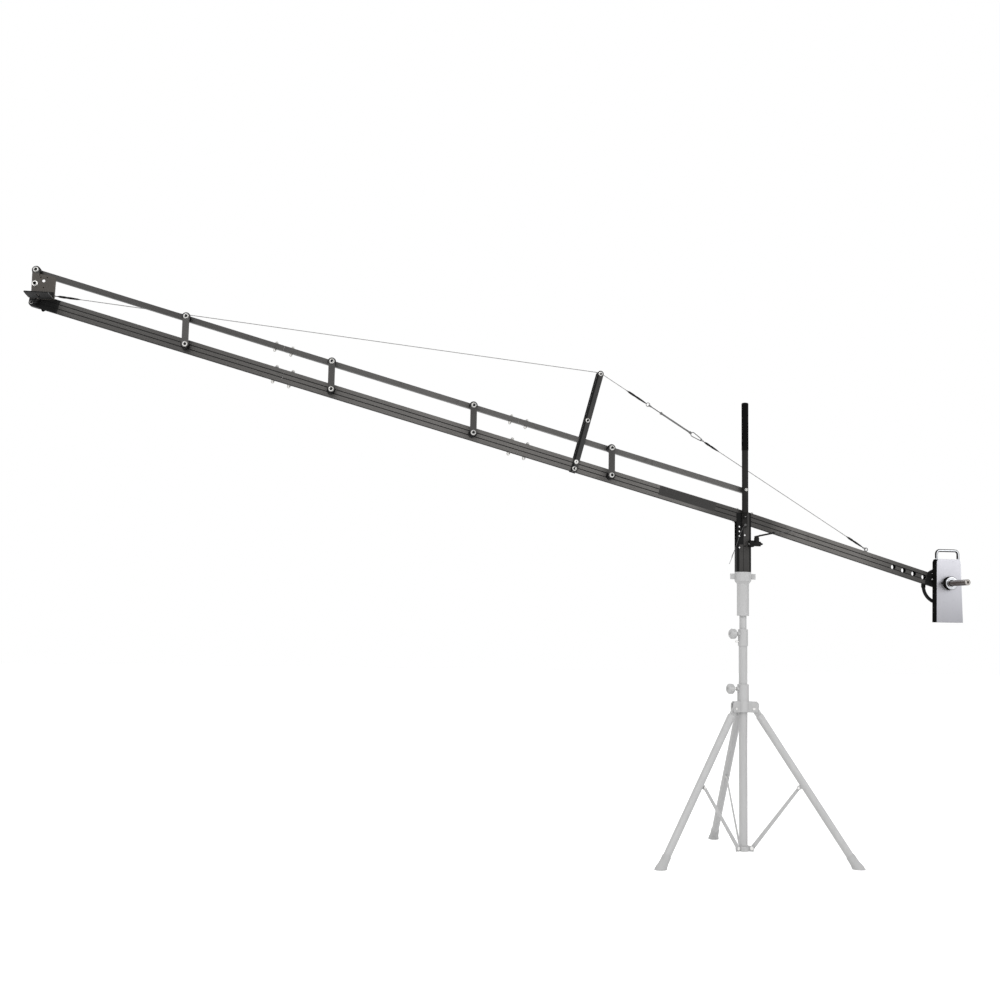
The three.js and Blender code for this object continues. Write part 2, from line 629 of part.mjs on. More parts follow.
// Places of the two screws that hold the camera plate's flange to the head plate, as [x, z].
function cameraPlateScrews() {
  const { flangeLeft, right, screwInset, screwHeight, thickness } = cameraPlate;
  const z = -headPlate.bottom + thickness + screwHeight;
  return [[flangeLeft + screwInset, z], [right - screwInset, z]];
}

// The shelf that the camera stands on: a bent plate with a slot for the camera's screw.
function buildCameraPlate() {
  const { left, right, reach, thickness, corner, flangeHeight, flangeThickness, flangeLeft } = cameraPlate;
  const { slotLength, slotWidth, slotInset } = cameraPlate;
  const back = plateFront + fit.seat;
  const bottom = -headPlate.bottom;
  const shelfOutline = roundedRectangle(left + right, reach, corner);
  const middle = (right - left) / 2;
  const shelf = extruded(shelfOutline, thickness, counts.cornerSteps)
    .translate(middle, -back - reach / 2, bottom);
  const flangeY = [-back - flangeThickness, -back];
  const flange = box([flangeLeft, right], flangeY, [bottom, bottom + flangeHeight]);
  const seatY = [-back - corner - fit.overrun, -back];
  const seat = box([flangeLeft, right], seatY, [bottom, bottom + thickness]);
  const slotShape = capsule([0, -slotLength / 2], [0, slotLength / 2], slotWidth / 2);
  const slot = extruded(slotShape, 3 * thickness, counts.cornerSteps)
    .translate(middle, -back - slotInset - slotLength / 2, bottom - thickness);
  const notch = box(
    [-left - fit.overrun, flangeLeft],
    [-back - cameraPlate.notchDepth, -back + fit.overrun],
    [bottom - fit.overrun, bottom + flangeHeight],
  );
  const screws = cameraPlateScrews().flatMap(([x, z]) => {
    const face = -back - flangeThickness;
    const headRange = [face - cameraPlate.screwHeadLength, face + fit.seat];
    return [
      cylinder('y', cameraPlate.screwRadius, [face, -plateBack], [x, 0, z]),
      cylinder('y', cameraPlate.screwHeadRadius, headRange, [x, 0, z]),
    ];
  });
  const plate = cut(join([shelf, flange, seat]), [slot, notch]);
  addMesh(headGroup, 'camera_plate', join([plate, ...screws]), coat.black);
}

function buildHead() {
  const plateBolt = { z: headPlate.boltHeight, radius: headPlate.boltRadius + fit.bore };
  addMesh(headGroup, 'head_link', linkStrip([plateBolt]), coat.strut);
  buildHeadPlate();
  buildCameraPlate();
  const lower = addMesh(boomGroup, 'head_boom_pin', hingeBolt(boomFace, plateFront + fit.seat), coat.black);
  lower.position.x = -frontLength;
  const upper = addMesh(barGroup, 'head_bar_pin', hingeBolt(barFace, linkFront + fit.seat), coat.black);
  upper.position.x = -frontLength;
}

// Values of y that bound the strut's plates on one side of the boom.
const strutInner = boomFace + strut.faceGap;
const strutOuter = strutInner + strut.thickness;

function strutPlate(yRange) {
  const half = strut.width / 2;
  const outline = new THREE.Shape();
  outline.moveTo(half, -strut.foot);
  outline.lineTo(half, strut.top);
  outline.absarc(0, strut.top, half, 0, Math.PI);
  outline.lineTo(-half, -strut.foot);
  return plateAcrossY(outline, yRange);
}

function strutBoltHeights() {
  return [-strut.boltRise, strut.boltRise, strut.middleHeight];
}

function buildStrut() {
  const headRange = [-strutOuter - strut.headLength, -strutOuter];
  const nutRange = [strutOuter + fit.seat, strutOuter + fit.seat + strut.headLength];
  const bolts = [...strutBoltHeights(), strut.top].flatMap((z) => {
    const radius = z === strut.top ? roller.axleRadius : strut.boltRadius;
    return [
      cylinder('y', radius, [headRange[0], nutRange[1]], [0, 0, z]),
      cylinder('y', strut.headRadius, headRange, [0, 0, z], counts.hexSides),
      cylinder('y', strut.headRadius, nutRange, [0, 0, z], counts.hexSides),
    ];
  });
  const spacerRange = [-strutInner - fit.overrun, strutInner - fit.seat];
  const spacerPlace = [0, 0, strut.middleHeight];
  const spacer = cylinder('y', strut.spacerRadius, spacerRange, spacerPlace, counts.roundSides);
  const front = join([strutPlate([-strutOuter, -strutInner]), spacer, ...bolts]);
  const frontMesh = addMesh(boomGroup, 'strut_front_plate', front, coat.strut);
  const reach = [strutInner - fit.overrun, strutOuter + fit.overrun];
  const bores = strutBoltHeights().map((z) => boreTool('y', strut.boltRadius + fit.bore, reach, [0, 0, z]));
  bores.push(boreTool('y', roller.axleRadius + fit.bore, reach, [0, 0, strut.top]));
  const rear = cut(strutPlate([strutInner, strutOuter]), bores);
  const rearMesh = addMesh(boomGroup, 'strut_rear_plate', rear, coat.strut);
  frontMesh.position.x = -strutStation;
  rearMesh.position.x = -strutStation;
}

// The grooved roller that the stay runs over.
function buildRoller() {
  const end = strutInner - fit.seat;
  const bore = roller.axleRadius + fit.bore;
  const profile = [
    [bore, -end], [roller.radius, -end], [roller.radius, roller.y - roller.grooveHalf],
    [roller.grooveRadius, roller.y - stay.wireRadius], [roller.grooveRadius, roller.y + stay.wireRadius],
    [roller.radius, roller.y + roller.grooveHalf], [roller.radius, end], [bore, end], [bore, -end],
  ];
  const drum = turned(profile, counts.roundSides).rotateX(-Math.PI / 2);
  const mesh = addMesh(boomGroup, 'strut_roller', drum, coat.black);
  mesh.position.set(-strutStation, 0, strut.top);
}

// Places along the stay, in the boom's own frame.
const wirePath = roller.grooveRadius + fit.seat + stay.wireRadius;
const lugPlace = new THREE.Vector3(-lugStation, lug.y, lug.rise);
const eyePlace = new THREE.Vector3(
  tailEyeStation * Math.cos(tailAngle) + tailEye.rise * Math.sin(tailAngle),
  0,
  -tailEyeStation * Math.sin(tailAngle) + tailEye.rise * Math.cos(tailAngle),
);

// The point where a straight wire from a place meets the roller, and the angle of that point.
function rollerTangent(place, side) {
  const dx = place.x + strutStation;
  const dz = place.z - strut.top;
  const angle = Math.atan2(dz, dx) + side * Math.acos(wirePath / Math.hypot(dx, dz));
  return (angle + 2 * Math.PI) % (2 * Math.PI);
}

function rollerPoint(angle) {
  const x = -strutStation + wirePath * Math.cos(angle);
  return new THREE.Vector3(x, roller.y, strut.top + wirePath * Math.sin(angle));
}

const frontAngle = rollerTangent(lugPlace, -1);
const rearAngle = rollerTangent(eyePlace, 1);
const frontDirection = rollerPoint(frontAngle).sub(lugPlace).normalize();
const rearStart = rollerPoint(rearAngle);
const rearDirection = eyePlace.clone().sub(rearStart).normalize();
const rearLength = eyePlace.distanceTo(rearStart);

// How far a wire loop's centre lies from the eye that it is hooked through.
const hookOffset = stay.loopRadius - stay.wireRadius + stay.eyeRadius - stay.eyeWire - fit.seat;

function alongLug(distance) {
  return lugPlace.clone().addScaledVector(frontDirection, distance);
}

function alongRear(distance) {
  return rearStart.clone().addScaledVector(rearDirection, distance);
}

// The axis that a ring needs to lie in one plane with the wire and with the given second direction.
function ringAxis(along, second) {
  return along.clone().cross(second).normalize();
}

const acrossBoom = new THREE.Vector3(0, 1, 0);
const upFromRear = rearDirection.clone().cross(acrossBoom).normalize();

function swagedSleeve(start, end) {
  const lead = end.clone().sub(start).setLength(stay.sleeveLead);
  return join([
    wireThrough([start, end], stay.sleeveRadius),
    wireThrough([start.clone().sub(lead), end.clone().add(lead)], (stay.sleeveRadius + stay.wireRadius) / 2),
  ]);
}

const frontLoop = stay.frontSleeveStart + stay.frontSleeveLength + stay.sleeveLead + stay.loopRadius;
const frontEye = frontLoop + hookOffset;
const rearEye = frontEye + turnbuckle.length;
const rearLoop = rearEye + hookOffset;

function buildFrontCable() {
  const points = [alongLug(hookOffset + stay.loopRadius)];
  for (let step = 0; step <= stay.rollerSteps; step += 1) {
    points.push(rollerPoint(THREE.MathUtils.lerp(frontAngle, rearAngle, step / stay.rollerSteps)));
  }
  points.push(alongRear(frontLoop - stay.loopRadius));
  const pieces = [
    wireThrough(points, stay.wireRadius),
    wireRing(alongLug(hookOffset), ringAxis(frontDirection, acrossBoom), stay.loopRadius, stay.wireRadius),
    swagedSleeve(alongLug(stay.lugSleeveStart), alongLug(stay.lugSleeveStart + stay.lugSleeveLength)),
    swagedSleeve(
      alongRear(stay.frontSleeveStart),
      alongRear(stay.frontSleeveStart + stay.frontSleeveLength),
    ),
    wireRing(alongRear(frontLoop), acrossBoom, stay.loopRadius, stay.wireRadius),
  ];
  addMesh(boomGroup, 'stay_front_cable', join(pieces), coat.wire);
}

function buildTurnbuckle() {
  const { bodyLength, bodyRadius, rodRadius, nutRadius, nutLength } = turnbuckle;
  const middle = (frontEye + rearEye) / 2;
  const start = middle - bodyLength / 2;
  const end = middle + bodyLength / 2;
  const straight = (from, to, radius, count) => wireThrough([alongRear(from), alongRear(to)], radius, count);
  const pieces = [
    wireRing(alongRear(frontEye), upFromRear, stay.eyeRadius, stay.eyeWire),
    straight(frontEye + stay.eyeRadius, rearEye - stay.eyeRadius, rodRadius),
    straight(start, end, bodyRadius, counts.pinSides),
    straight(start, start + nutLength, nutRadius, counts.hexSides),
    straight(end - nutLength, end, nutRadius, counts.hexSides),
    wireRing(alongRear(rearEye), upFromRear, stay.eyeRadius, stay.eyeWire),
  ];
  addMesh(boomGroup, 'stay_turnbuckle', join(pieces), coat.zinc);
}

function buildRearCable() {
  const start = rearLoop + stay.loopRadius;
  const end = rearLength - hookOffset - stay.loopRadius;
  const sleeveStart = start + stay.sleeveLead;
  const sleeveEnd = end - stay.sleeveLead;
  const pieces = [
    wireRing(alongRear(rearLoop), acrossBoom, stay.loopRadius, stay.wireRadius),
    wireThrough([alongRear(start), alongRear(end)], stay.wireRadius),
    swagedSleeve(alongRear(sleeveStart), alongRear(sleeveStart + stay.rearSleeveLength)),
    swagedSleeve(alongRear(sleeveEnd - stay.tailSleeveLength), alongRear(sleeveEnd)),
    wireRing(alongRear(rearLength - hookOffset), upFromRear, stay.loopRadius, stay.wireRadius),
  ];
  addMesh(boomGroup, 'stay_rear_cable', join(pieces), coat.wire);
}

// The lug behind the boom's head end that holds the front cable clear of the bar.
function buildLug() {
  const front = lug.y - lug.thickness / 2;
  const back = lug.y + lug.thickness / 2;
  const outline = capsule([0, -lug.foot + lug.width / 2], [0, lug.rise], lug.width / 2);
  const strip = plateAcrossY(outline, [front, back]);
  const holeRange = [front - fit.overrun, back + fit.overrun];
  const hole = boreTool('y', stay.eyeRadius - stay.eyeWire, holeRange, [0, 0, lug.rise], counts.roundSides);
  const screws = lug.screwRises.flatMap((z) => [
    cylinder('y', lug.screwRadius, [boomFace - boom.wall + fit.seat, back + fit.seat], [0, 0, z]),
    cylinder('y', lug.bossRadius, [boomFace + fit.seat, front + fit.seat], [0, 0, z]),
    cylinder('y', lug.screwHeadRadius, [back - fit.seat, back + lug.screwHeadLength], [0, 0, z]),
  ]);
  const mesh = addMesh(boomGroup, 'stay_lug', join([cut(strip, [hole]), ...screws]), coat.black);
  mesh.position.x = -lugStation;
}

function buildTailEye() {
  const face = boom.height / 2 + fit.seat;
  const ringBottom = tailEye.rise - stay.eyeRadius;
  const pieces = [
    cylinder('z', tailEye.shankRadius, [boom.height / 2 - tailEye.shankDepth, ringBottom]),
    cylinder('z', tailEye.collarRadius, [face, face + tailEye.collarLength]),
    wireRing(new THREE.Vector3(0, 0, tailEye.rise), acrossBoom, stay.eyeRadius, stay.eyeWire),
  ];
  const mesh = addMesh(tailGroup, 'stay_tail_eye', join(pieces), coat.zinc);
  mesh.position.x = tailEyeStation;
}

// The bracket, in a frame whose origin is the tilt pivot.
function buildBracket() {
  const { width, depth, wall, corner, below, above, slotHalf, slotBottom, floor } = bracket;
  const upright = (shape, low, high) => extruded(shape, high - low, counts.cornerSteps).translate(0, 0, low);
  const outer = upright(roundedRectangle(width, depth, corner), -below, above);
  const hollowShape = roundedRectangle(width - 2 * wall, depth - 2 * wall, corner - wall);
  const hollow = upright(hollowShape, -below + floor, above + fit.overrun);
  const slot = box([-width, width], [-slotHalf, slotHalf], [-slotBottom, above + fit.overrun]);
  const frontReach = [-depth, 0];
  const bore = (x, z, radius, reach) => boreTool('y', radius, reach, [x, 0, z]);
  const { left, right, low, leftDrops, rightDrops } = bracketHoleShares;
  const placed = (across, down, radius, reach) => bore((across * width) / 2, -down * below, radius, reach);
  const lowest = leftDrops[leftDrops.length - 1];
  const holes = [
    ...leftDrops.map((down) => placed(left, down, bracket.holeRadius, frontReach)),
    ...rightDrops.map((down) => placed(right, down, bracket.holeRadius, frontReach)),
    placed(low, lowest, bracket.lowHoleRadius, [0, depth]),
    bore(0, -mast.boltDrop, mast.boltRadius + fit.bore, frontReach),
    bore(0, 0, tiltPin.radius + fit.bore, [-depth, depth]),
  ];
  const window = box(
    [-bracket.windowLeft, bracket.windowRight],
    [0, depth],
    [-bracket.windowBottom, -bracket.windowTop],
  );
  const lugBlock = box(
    [brake.lugLeft, brake.lugRight],
    [-brake.y - brake.lugHalf, -depth / 2 + fit.overrun],
    [-brake.drop - brake.lugHalf, -brake.drop + brake.lugHalf],
  );
  const spindleReach = [brake.lugLeft - fit.overrun, brake.lugRight + fit.overrun];
  const spindlePlace = [0, -brake.y, -brake.drop];
  const spindleBore = boreTool('x', brake.spindleRadius + fit.bore, spindleReach, spindlePlace);
  const spigotRange = [-below - bracket.spigotLength, -below + fit.overrun];
  const spigot = cylinder('z', bracket.spigotRadius, spigotRange, [0, 0, 0], counts.tubeSides);
  const body = join([cut(outer, [hollow, slot, window, ...holes]), lugBlock, spigot]);
  addMesh(fulcrumGroup, 'fulcrum_bracket', cut(body, [spindleBore]), coat.bracket);
}

const mastBack = -bracket.depth / 2 - fit.seat;
const mastFootFront = mastBack - mast.footThickness;

// The foam grip over the mast's upper end, closed by a rounded cap.
function mastGrip() {
  const low = mast.top - mast.gripLength;
  const inner = mast.radius - fit.overrun / 2;
  const profile = [
    [inner, low], [mast.gripRadius, low], [mast.gripRadius, mast.top - mast.gripCap],
    [mast.gripRadius - mast.gripCap, mast.top], [0, mast.top], [0, mast.top - mast.gripCap],
    [inner, mast.top - mast.gripCap], [inner, low],
  ];
  return turned(profile).translate(0, -mast.y, 0);
}

function buildMast() {
  const tubeBottom = bracket.above + fit.seat;
  const centre = [0, -mast.y, 0];
  const tube = cylinder('z', mast.radius, [tubeBottom, mast.top - mast.gripCap], centre, counts.tubeSides);
  const foot = plateAcrossY(
    capsule([0, -mast.footDrop + mast.footWidth / 2], [0, mast.footRise], mast.footWidth / 2),
    [mastFootFront, mastBack],
  );
  const reach = [-2 * mast.y, 0];
  const bores = [
    boreTool('y', tiltPin.radius + fit.bore, reach),
    boreTool('y', mast.boltRadius + fit.bore, reach, [0, 0, -mast.boltDrop]),
    boreTool('y', pinBore, reach, [0, 0, link.length]),
  ];
  addMesh(fulcrumGroup, 'mast', cut(join([tube, foot, mastGrip()]), bores), coat.black);
}

function buildFulcrumPins() {
  const headFace = mastFootFront - fit.seat;
  const headEnd = headFace - tiltPin.headLength;
  const rearFace = bracket.depth / 2 + fit.seat;
  const tiltNutEnd = rearFace + tiltPin.nutLength;
  const tilt = join([
    cylinder('y', tiltPin.radius, [headEnd, tiltNutEnd + tiltPin.tip], [0, 0, 0], counts.roundSides),
    cylinder('y', tiltPin.headRadius, [headEnd, headFace], [0, 0, 0], counts.hexSides),
    cylinder('y', tiltPin.nutRadius, [rearFace, tiltNutEnd], [0, 0, 0], counts.hexSides),
  ]);
  addMesh(fulcrumGroup, 'tilt_pin', tilt, coat.zinc);
  const mastFront = -mast.y - mast.radius - fit.seat;
  const mastRear = -mast.y + mast.radius + fit.seat;
  const nutEnd = barFace + fit.seat + pin.nutLength;
  const upper = join([
    cylinder('y', pin.radius, [mastFront - pin.headLength, nutEnd + pin.tip]),
    cylinder('y', pin.headRadius, [mastFront - pin.headLength, mastFront], [0, 0, 0], counts.hexSides),
    cylinder('y', barPin.spacerRadius, [mastRear, -barFace - fit.seat], [0, 0, 0], counts.roundSides),
    cylinder('y', pin.nutRadius, [barFace + fit.seat, nutEnd], [0, 0, 0], counts.hexSides),
  ]);
  const mesh = addMesh(fulcrumGroup, 'bar_pivot_pin', upper, coat.zinc);
  mesh.position.z = link.length;
}

// A bolt through the mast's foot with a thin wire clip that hangs from it to the lower left.
function buildClip() {
  const face = mastFootFront - fit.seat;
  const front = face - clip.headLength;
  const inside = -bracket.depth / 2 + bracket.wall;
  const route = (shares) => shares.map(([side, down]) => (
    new THREE.Vector3(-side * clip.reach, -clip.y, -down * clip.drop)));
  const place = [0, 0, -mast.boltDrop];
  const pieces = [
    cylinder('y', mast.boltRadius, [front, inside], place),
    cylinder('y', clip.headRadius, [Math.min(front, -clip.y - clip.radius), face], place, counts.hexSides),
    wireThrough(route(clipShares.wire), clip.radius),
    wireThrough(route(clipShares.prong), clip.radius),
  ];
  addMesh(fulcrumGroup, 'locking_clip', join(pieces), coat.wire);
}

// The tilt brake: a threaded spindle, its dark body with a pointed end, and a bent lever on a post.
function buildBrake() {
  const start = brake.lugRight + fit.seat;
  const bodyEnd = start + brake.bodyLength;
  const postTop = new THREE.Vector3(brake.postX, 0, brake.postHeight);
  const leverEnd = postTop.clone().add(new THREE.Vector3(brake.leverReach, 0, brake.leverRise));
  const tailEnd = leverEnd.clone().add(new THREE.Vector3(brake.tailReach, 0, brake.tailRise));
  const tip = [bodyEnd, bodyEnd + brake.tipLength];
  const pieces = [
    cylinder('x', brake.spindleRadius, [brake.spindleLeft, bodyEnd]),
    cylinder('x', brake.bodyRadius, [start, bodyEnd], [0, 0, 0], counts.roundSides),
    cylinder('x', brake.bodyRadius, tip, [0, 0, 0], counts.roundSides, brake.tipRadius),
    cylinder('z', brake.postRadius, [0, brake.postHeight], [brake.postX, 0, 0], counts.roundSides),
    wireThrough([postTop, leverEnd], brake.leverRadius),
    new THREE.SphereGeometry(brake.knobRadius, counts.pinSides, counts.wireSides)
      .translate(...leverEnd.toArray()),
    wireThrough([leverEnd, tailEnd], brake.tailRadius),
  ];
  const mesh = addMesh(fulcrumGroup, 'tilt_brake_lever', join(pieces), coat.black);
  mesh.position.set(0, -brake.y, -brake.drop);
}

const slabBack = boomFace + fit.seat + rod.shoulderLength + fit.seat;
const slabFront = slabBack + slab.thickness;

// The rod through the last large hole: neck in the boom, shoulder against it, thick front part.
function buildRod() {
  const shoulderFront = -boomFace - fit.seat - rod.shoulderLength;
  const ringFace = ring.y + ring.hubLength / 2 + fit.seat;
  const tipStart = -rod.front + rod.chamfer;
  const centre = [0, 0, 0];
  const solid = join([
    cylinder('y', rod.neckRadius, [shoulderFront, rod.rear], centre, counts.roundSides),
    cylinder('y', rod.radius, [tipStart, shoulderFront + fit.overrun], centre, counts.roundSides),
    cylinder('y', rod.radius - rod.chamfer, [-rod.front, tipStart], centre, counts.roundSides, rod.radius),
    cylinder('y', rod.shoulderRadius, [shoulderFront, -boomFace - fit.seat], centre, counts.tubeSides),
    cylinder('y', rod.rearHeadRadius, [ringFace, ringFace + rod.rearHeadLength], centre, counts.hexSides),
  ]);
  const socket = cylinder('y', rod.socketRadius, [-rod.front - fit.overrun, -rod.front + rod.socketDepth]);
  const mesh = addMesh(tailGroup, 'weight_rod', cut(solid, [socket]), coat.rod);
  mesh.position.x = rodStation;
}

const weightGroup = addGroup(crane, [
  rodStation * Math.cos(radians(fulcrum.tailSlope)),
  0,
  fulcrum.height - rodStation * Math.sin(radians(fulcrum.tailSlope)),
]);

// Route of the slab's handle: up from one side, over with round bends, and down the other.
function handleRoute() {
  const { handleHalf, handleRise, handleBend, above, handleRoot, bendSteps } = slab;
  const y = -(slabBack + slabFront) / 2;
  const points = [new THREE.Vector3(-handleHalf, y, above - handleRoot)];
  for (const side of [-1, 1]) {
    for (let step = 0; step <= bendSteps; step += 1) {
      const share = side < 0 ? step / bendSteps : 1 - step / bendSteps;
      const angle = (share * Math.PI) / 2;
      const x = side * (handleHalf - handleBend + handleBend * Math.cos(angle));
      points.push(new THREE.Vector3(x, y, above + handleRise - handleBend + handleBend * Math.sin(angle)));
    }
  }
  points.push(new THREE.Vector3(handleHalf, y, above - handleRoot));
  return points;
}

// The slab hangs upright on the rod, a little wider at its foot, with a handle on top.
function buildSlab() {
  const { topWidth, bottomWidth, above, below, corner } = slab;
  const outline = polygon([
    [-bottomWidth / 2, -below], [bottomWidth / 2, -below],
    [topWidth / 2, above - corner], [topWidth / 2 - corner / 2, above],
    [-topWidth / 2 + corner / 2, above], [-topWidth / 2, above - corner],
  ]);
  const plate = new THREE.ExtrudeGeometry(outline, {
    depth: slab.thickness - 2 * slab.bevel,
    bevelThickness: slab.bevel,
    bevelSize: slab.bevel,
    bevelOffset: -slab.bevel,
    bevelSegments: 1,
  }).rotateX(Math.PI / 2).translate(0, -slabBack - slab.bevel, 0);
  const boreRange = [-slabFront - fit.overrun, -slabBack + fit.overrun];
  const bore = boreTool('y', rod.radius + fit.bore, boreRange, [0, 0, 0], counts.tubeSides);
  const handle = wireThrough(handleRoute(), slab.handleRadius, counts.pinSides);
  addMesh(weightGroup, 'weight_slab', cut(join([plate, handle]), [bore]), coat.satin);
}

function buildCollar() {
  const back = -slabFront - fit.seat;
  const front = back - collar.length;
  const inner = rod.radius + fit.bore;
  const profile = [
    [inner, 0], [collar.radius, 0], [collar.radius, collar.length - collar.chamfer],
    [collar.radius - collar.chamfer, collar.length], [inner, collar.length], [inner, 0],
  ];
  const body = turned(profile).rotateX(Math.PI / 2).translate(0, back, 0);
  const screwRange = [-collar.radius - collar.screwLength, -inner - fit.overrun];
  const screw = cylinder('x', collar.screwRadius, screwRange, [0, (front + back) / 2, 0]);
  addMesh(weightGroup, 'weight_collar', join([body, screw]), coat.chrome);
}

// The ring behind the boom that the operator swings the crane by, on a hub with two spokes.
function buildRing() {
  const centre = new THREE.Vector3(0, ring.y, -ring.drop);
  const halfSpoke = Math.sqrt(ring.radius ** 2 - ring.drop ** 2);
  const [back, front] = [ring.y - ring.hubLength / 2, ring.y + ring.hubLength / 2];
  const spokeDepth = [ring.y - ring.spokeThickness / 2, ring.y + ring.spokeThickness / 2];
  const spoke = box([-halfSpoke, halfSpoke], spokeDepth, [-ring.spokeWidth / 2, ring.spokeWidth / 2]);
  const hub = cylinder('y', ring.hubRadius, [back, front], [0, 0, 0], counts.tubeSides);
  const hoop = wireRing(centre, acrossBoom, ring.radius, ring.wire, counts.ringSides);
  const angle = radians(ringBoss.angle);
  const outward = new THREE.Vector3(Math.cos(angle), 0, Math.sin(angle));
  const onHoop = centre.clone().addScaledVector(outward, ring.radius);
  const along = outward.clone().cross(acrossBoom).setLength(ringBoss.length / 2);
  const bossEnds = [onHoop.clone().sub(along), onHoop.clone().add(along)];
  const boss = wireThrough(bossEnds, ringBoss.radius, counts.pinSides);
  const boreRange = [back - fit.overrun, front + fit.overrun];
  const bore = boreTool('y', rod.neckRadius + fit.bore, boreRange, [0, 0, 0], counts.tubeSides);
  const mesh = addMesh(tailGroup, 'ring_handle', cut(join([spoke, hub, hoop, boss]), [bore]), coat.black);
  mesh.position.x = rodStation;
}

const socketBottom = fulcrum.height - bracket.below - bracket.spigotLength - fit.seat;

// The cup and sleeve that join the bracket's spigot to the stand's inner tube.
function buildAdapter() {
  const sleeveInner = innerTube.radius + fit.bore;
  const spigotInner = bracket.spigotRadius + fit.bore;
  const webBottom = socketBottom - adapter.web;
  const { sleeveRadius, neckDepth, cupRadius, cupDepth } = adapter;
  const profile = [
    [spigotInner, adapterTop], [spigotInner, socketBottom], [0, socketBottom], [0, webBottom],
    [sleeveInner, webBottom], [sleeveInner, adapterBottom], [sleeveRadius, adapterBottom],
    [sleeveRadius, adapterTop - neckDepth], [cupRadius, adapterTop - cupDepth],
    [cupRadius, adapterTop], [spigotInner, adapterTop],
  ];
  const wingMiddle = adapterTop - adapter.wingDrop;
  const wings = [-1, 1].map((side) => {
    const reach = [side * (cupRadius - fit.overrun), side * adapter.wingReach].sort((a, b) => a - b);
    const [halfDepth, halfHeight] = [adapter.wingThickness / 2, adapter.wingHeight / 2];
    return box(reach, [-halfDepth, halfDepth], [wingMiddle - halfHeight, wingMiddle + halfHeight]);
  });
  addMesh(crane, 'stand_adapter', join([turned(profile), ...wings]), coat.stand);
}

function tubeProfile(inner, outer, low, high) {
  return [[inner, low], [outer, low], [outer, high], [inner, high], [inner, low]];
}

function buildInnerTube() {
  const top = socketBottom - adapter.web - fit.seat;
  const { radius, wall, insertion } = innerTube;
  const bottom = columnTop - insertion;
  addMesh(crane, 'stand_inner_tube', turned(tubeProfile(radius - wall, radius, bottom, top)), coat.stand);
}

// A boss on a tube wall in the knob's direction, and the bore for the knob's shank.
function knobBoss(wallRadius, height) {
  const range = [wallRadius - fit.overrun, wallRadius + knob.bossLength];
  return cylinder('x', knob.bossRadius, range, [0, 0, 0], counts.roundSides)
    .rotateZ(radians(knob.azimuth))
    .translate(0, 0, height);
}

function knobBore(wallRadius, height) {
  const reach = [0, wallRadius + knob.bossLength + fit.overrun];
  return boreTool('x', knob.shankRadius + fit.bore, reach)
    .rotateZ(radians(knob.azimuth))
    .translate(0, 0, height);
}

// A piece given as [radius, tangent, height] about the stand's axis, turned to a leg's direction.
function towardsLeg(geometry, azimuth) {
  return geometry.clone().rotateZ(radians(azimuth));
}

function buildColumn() {
  const { radius, wall, bottom, clampRadius, hubRadius, hubLength } = column;
  const inner = radius - wall;
  const tube = turned(tubeProfile(inner, radius, bottom, columnTop));
  const clamp = turned(tubeProfile(radius - fit.overrun, clampRadius, clampBottom, columnTop));
  const hub = turned(tubeProfile(radius - fit.overrun, hubRadius, bottom, bottom + hubLength));
  const halfEar = column.earThickness / 2;
  const ear = box([radius, column.earReach], [-halfEar, halfEar], [bottom, bottom + column.earLength]);
  const headPlace = [brace.lowerRadius, 0, braceFootHeight];
  const earHead = cylinder('y', brace.eyeHeadRadius, [-halfEar - brace.pinHeadLength, 0], headPlace);
  const spider = leg.azimuths.flatMap((azimuth) => [ear, earHead].map((piece) => towardsLeg(piece, azimuth)));
  const latchPin = cylinder('x', latch.radius, [clampRadius - fit.overrun, latch.reach])
    .rotateZ(radians(knob.azimuth))
    .translate(0, 0, columnTop - latch.inset);
  const knobHeight = columnTop - heightKnob.inset;
  const joined = join([tube, clamp, hub, knobBoss(clampRadius, knobHeight), latchPin, ...spider]);
  addMesh(crane, 'stand_column', cut(joined, [knobBore(clampRadius, knobHeight)]), coat.stand);
}

function buildLegCollar() {
  const { radius, hubRadius, hubLength, earReach, earThickness, slack } = legCollar;
  const inner = column.radius + slack;
  const hubTop = collarBottom + hubLength;
  const sleeve = turned(tubeProfile(inner, radius, collarBottom, collarTop));
  const hub = turned(tubeProfile(radius - fit.overrun, hubRadius, collarBottom, hubTop));
  const earInner = leg.tongueThickness / 2 + fit.seat;
  const ears = [-1, 1].map((side) => {
    const range = [side * earInner, side * (earInner + earThickness)].sort((a, b) => a - b);
    return box([radius, earReach], range, [collarBottom, hubTop]);
  });
  const around = leg.azimuths.flatMap((azimuth) => ears.map((ear) => towardsLeg(ear, azimuth)));
  const reachY = earInner + earThickness + fit.overrun;
  const pivot = [leg.pivotRadius, 0, legPivotHeight];
  const pinHole = boreTool('y', leg.pinRadius + fit.bore, [-reachY, reachY], pivot);
  const bores = leg.azimuths.map((azimuth) => towardsLeg(pinHole, azimuth));
  const knobHeight = collarTop - legKnob.inset;
  const joined = join([sleeve, hub, knobBoss(radius, knobHeight), ...around]);
  addMesh(crane, 'leg_collar', cut(joined, [...bores, knobBore(radius, knobHeight)]), coat.stand);
}

